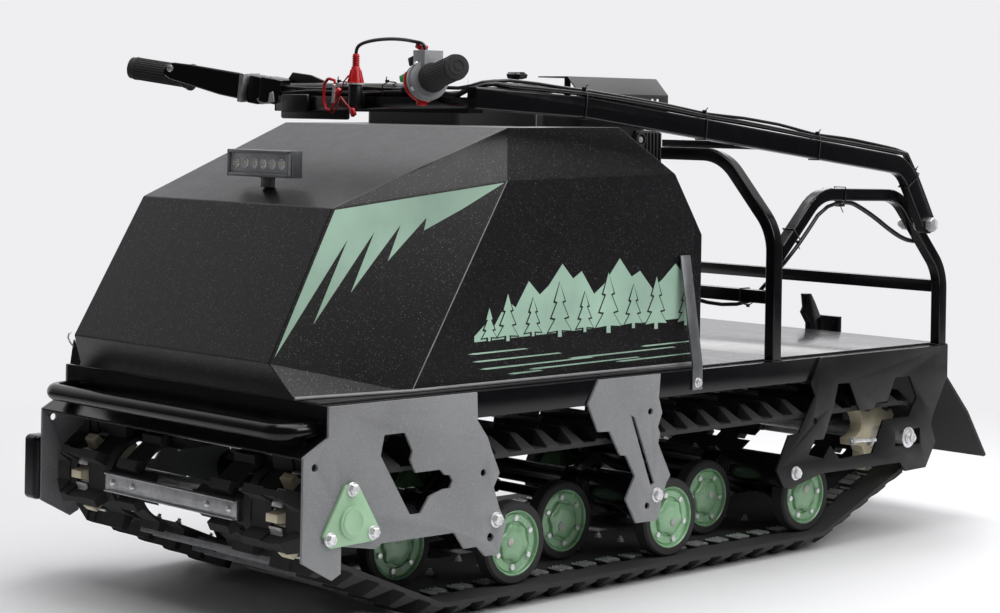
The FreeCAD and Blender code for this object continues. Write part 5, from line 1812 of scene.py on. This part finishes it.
@dataclass
class StopDetails:
    """The stop switch's rim and ribs, its snap hook and the thin tether."""

    neck_ribs: int = 5
    skirt_ribs: int = 10
    hook: tuple[tuple[float, float], ...] = (
        (42, 735), (26, 738), (17, 730), (16, 706), (22, 694), (32, 692), (38, 699))
    hook_wire: float = 2.2 * MM
    cord: float = 1.2 * MM

    def rings(self) -> None:
        """Put the silver rim and the neck's ribs on the cap."""
        low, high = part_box("stop_cap")
        axis = Vector(((low.x + high.x) / 2, (low.y + high.y) / 2, low.z))
        rim = Shape()
        rim.lathe(in_mm((0.2, 9), (0.2, 12.4), (2.2, 12.4), (2.6, 11.6)), axis, UP, 32)
        rim.coat(ZINC).piece("cap_rim", Body.HANDLE, "bright_steel")
        ribs = Shape()
        for step in range(self.neck_ribs):
            ribs.lathe(in_mm((0, 4), (0.5, 5.6), (1.6, 5.6), (2.1, 4)), axis + mm(0, 0, 27 + 3.1 * step),
                       UP, 20)
        for cosine, sine in circle(self.skirt_ribs):
            out = Vector((cosine, sine, 0))
            ribs.rod(axis + out * 11.6 * MM + mm(0, 0, 3), axis + out * 7.2 * MM + mm(0, 0, 21), 0.9 * MM, 6)
        ribs.coat(RED_PLASTIC).piece("cap_ribs", Body.HANDLE, "red_plastic", 45.0)

    def snap_hook(self) -> None:
        """Hang the red snap hook on the tether, with its bright gate."""
        loop = [mm(x, -500, z) for x, z in self.hook]
        hook = Shape()
        smooth = []
        for index, here in enumerate(loop):
            after = loop[(index + 1) % len(loop)]
            smooth += [here.lerp(after, share) for share in (0.12, 0.5, 0.88)]
        hook.sweep(smooth, self.hook_wire, 8, True)
        hook.coat(RED_PLASTIC)
        gate = (loop[0].lerp(loop[-1], 0.15), loop[0].lerp(loop[-1], 0.9))
        hook.rod(gate[0] + mm(0, -1, 0), gate[1] + mm(0, -1, 0), 2.4 * MM, 10, 0.6 * MM)
        hook.coat(ZINC).piece("snap_hook", Body.HANDLE)

    def tether(self) -> None:
        """Lay the thin red tether from the cap over the hook to the switch's foot."""
        cord = Shape()
        cord.sweep(route((88, -514, 742), (76, -513, 733), (64, -508, 716), (52, -505, 706),
                         (38, -502, 696), (32, -500, 690), (36, -498, 688), (52, -502, 700),
                         (66, -510, 712), (78, -513, 705), (92, -512, 694), (98, -511, 688)), self.cord,
                   6)
        for x, z, tilt in ((62, 718, 0.7), (95, 690, -0.5)):
            cord.box(mm(x, -511, z), mm(9, 6, 12), 2.0 * MM, Matrix.Rotation(tilt, 3, "Y"))
        cord.coat(RED_PLASTIC).piece("stop_tether", Body.HANDLE, "red_plastic", 60.0)

    def build(self) -> None:
        """Add all of it."""
        self.rings()
        self.snap_hook()
        self.tether()


@dataclass
class Lever:
    """The far lever ahead of its grip, its clamp with a bright band, and the fittings on the cross tube."""

    bar: Bar
    blade: tuple[tuple[float, float], ...] = (
        (-305, 6), (-302, 16), (-292, 21), (-262, 22), (-178, 21), (-178, -18), (-215, -16), (-256, -10),
        (-294, -5), (-303, 0))
    gap: float = 4 * MM
    thick: float = 8 * MM
    clamps: tuple[tuple[float, float, float, float], ...] = ((-124, 40, 40, 38), (-160, 22, 34, 42))
    tip_x: float = -293 * MM
    band_x: float = -176 * MM
    plate: tuple[tuple[float, float], ...] = (
        (-128, 733), (-112, 748), (-70, 744), (-40, 736), (-40, 729), (-128, 729))

    def lever(self) -> None:
        """Build the blade and its clamp in place of the plain ones."""
        ahead, up = self.bar.frame(-1)
        lever = Shape()
        start = ahead * (self.bar.grip_radius + self.gap)
        lever.slab([self.bar.at(x * MM) + start + up * (high * MM) for x, high in self.blade],
                   ahead * self.thick, 1.6 * MM)
        for x, wide, deep, tall in self.clamps:
            centre = self.bar.at(x * MM) + mm(0, -8, -1)
            turn = Matrix.Rotation(0.14, 3, "Y") @ Matrix.Rotation(0.25, 3, "Z")
            lever.box(centre, mm(wide, deep, tall), 3 * MM, turn)
        lever.coat(GLOSS_BLACK)
        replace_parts(lever.piece("brake_lever", Body.HANDLE, "control_plastic"), "side_lever")

    def fittings(self) -> None:
        """Add the band, the lever's round bolt, the cross tube's bolt and blade, and the dark plates."""
        ahead = self.bar.frame(-1)[0]
        steel = Shape()
        turn = Matrix.Rotation(0.14, 3, "Y") @ Matrix.Rotation(0.3, 3, "Z")
        steel.box(self.bar.at(self.band_x) + mm(0, -10, 0), mm(9, 44, 44), 2 * MM, turn)
        tip = self.bar.at(self.tip_x) + ahead * (self.bar.grip_radius + self.gap + self.thick) + mm(0, 0, 12)
        steel.lathe(in_mm((-1, 6), (1.2, 5.6), (2.8, 3.6), (3.2, 0)), tip, ahead, 20)
        steel.coat(GALVANISED)
        steel.slab(route((-150, -494, 707), (-112, -493, 719), (-108, -493, 703), (-136, -494, 699)),
                   mm(0, 2, 0), 0.5 * MM)
        steel.lathe(in_mm((-1, 5), (0.8, 4.6), (1.8, 3), (2, 0)), mm(-62, -489, 706), AHEAD, 16)
        steel.coat(ZINC).piece("lever_fittings", Body.HANDLE, "bright_steel")
        black = Shape()
        black.slab([mm(x, -456, z) for x, z in self.plate], mm(0, 4, 0), 0.8 * MM)
        foot = mm(-112, -489, 690)
        black.slab([foot, foot + mm(0, 32, 0), foot + mm(0, 32, 24), foot + mm(0, 0, 24)], mm(4, 0, 0),
                   1.0 * MM)
        black.box(mm(-58, -492, 702), mm(62, 8, 26), 3 * MM)
        black.box(mm(-30, -478, 694), mm(150, 10, 30), 3 * MM)
        black.coat(BLACK_PLASTIC).piece("lever_bracket", Body.HANDLE, "control_plastic")

    def build(self) -> None:
        """Build the lever and what is round it."""
        self.lever()
        self.fittings()


@dataclass
class EngineSide:
    """What shows between the hood and the shield: a ribbed cover with its plug, and dark slabs on the shield that
    stand for the shade in its vents: painted shade.
    """

    ribs: int = 5
    vents: int = 16
    vent_pitch: float = 6.4
    plug: Vector = field(default_factory=lambda: mm(132, 42, 654))

    def build(self) -> None:
        """Add the cover, and dark slabs on the shield where shade shows in its vents: painted shade."""
        cover = Shape()
        cover.box(mm(118, 66, 639), mm(30, 58, 60), 5 * MM)
        for step in range(self.ribs):
            cover.box(mm(134, 58 + step * 8, 640), mm(6, 3.4, 50), 1.4 * MM)
        cover.lathe(in_mm((0, 12), (7, 11), (7.6, 8.6), (4, 8), (4, 0)), self.plug, LEFT, 28)
        cover.coat(ENGINE_BLACK)
        cover.lathe(in_mm((4, 5), (6, 4.6), (6.4, 0)), self.plug, LEFT, 16)
        cover.coat(ZINC).piece("ribbed_cover", slot="engine_black")
        # Thin dark slabs laid on the shield's face where its vents show shade: painted shade.
        vent_shade = Shape()
        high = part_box("muffler_shield")[1]
        start = Vector((high.x - 27 * MM, 0, high.z - 1 * MM))
        slope = Vector((1, 0, -1)).normalized()
        for row in range(self.vents):
            y = (-60 + row * self.vent_pitch) * MM
            vent_shade.slab([Vector((start.x, y + a * MM, start.z)) + slope * b * MM + mm(0.75, 0, 0.75)
                       for a, b in ((-1.4, 8), (1.4, 8), (1.4, 15), (-1.4, 15))], mm(0.15, 0, 0.15))
        vent_shade.coat(CABLE_AND_VENT_SHADE).piece("shield_vents_painted_shade", slot="muffler_black")


def main() -> None:
    """Build the scene."""
    logging.basicConfig(level=logging.INFO, format="%(name)s: %(message)s")
    bpy.context.scene.view_settings.view_transform = "Standard"
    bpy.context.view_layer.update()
    Viewpoint().place()
    Cords().build()
    Studio().build()
    CadNodes().build()
    belt, bar = Belt(), Bar()
    parts = (TrackHardware(belt), Wheels(), Springs(), PlateHardware(), HoodTrim(), LightBar(), EngineTop(),
             EngineSide(), FrameTrim(), Wiring(bar), Grips(bar), ThrottleDetails(bar), StopDetails(),
             Lever(bar))
    for part in parts:
        part.build()


if __name__ == "__main__":
    main()
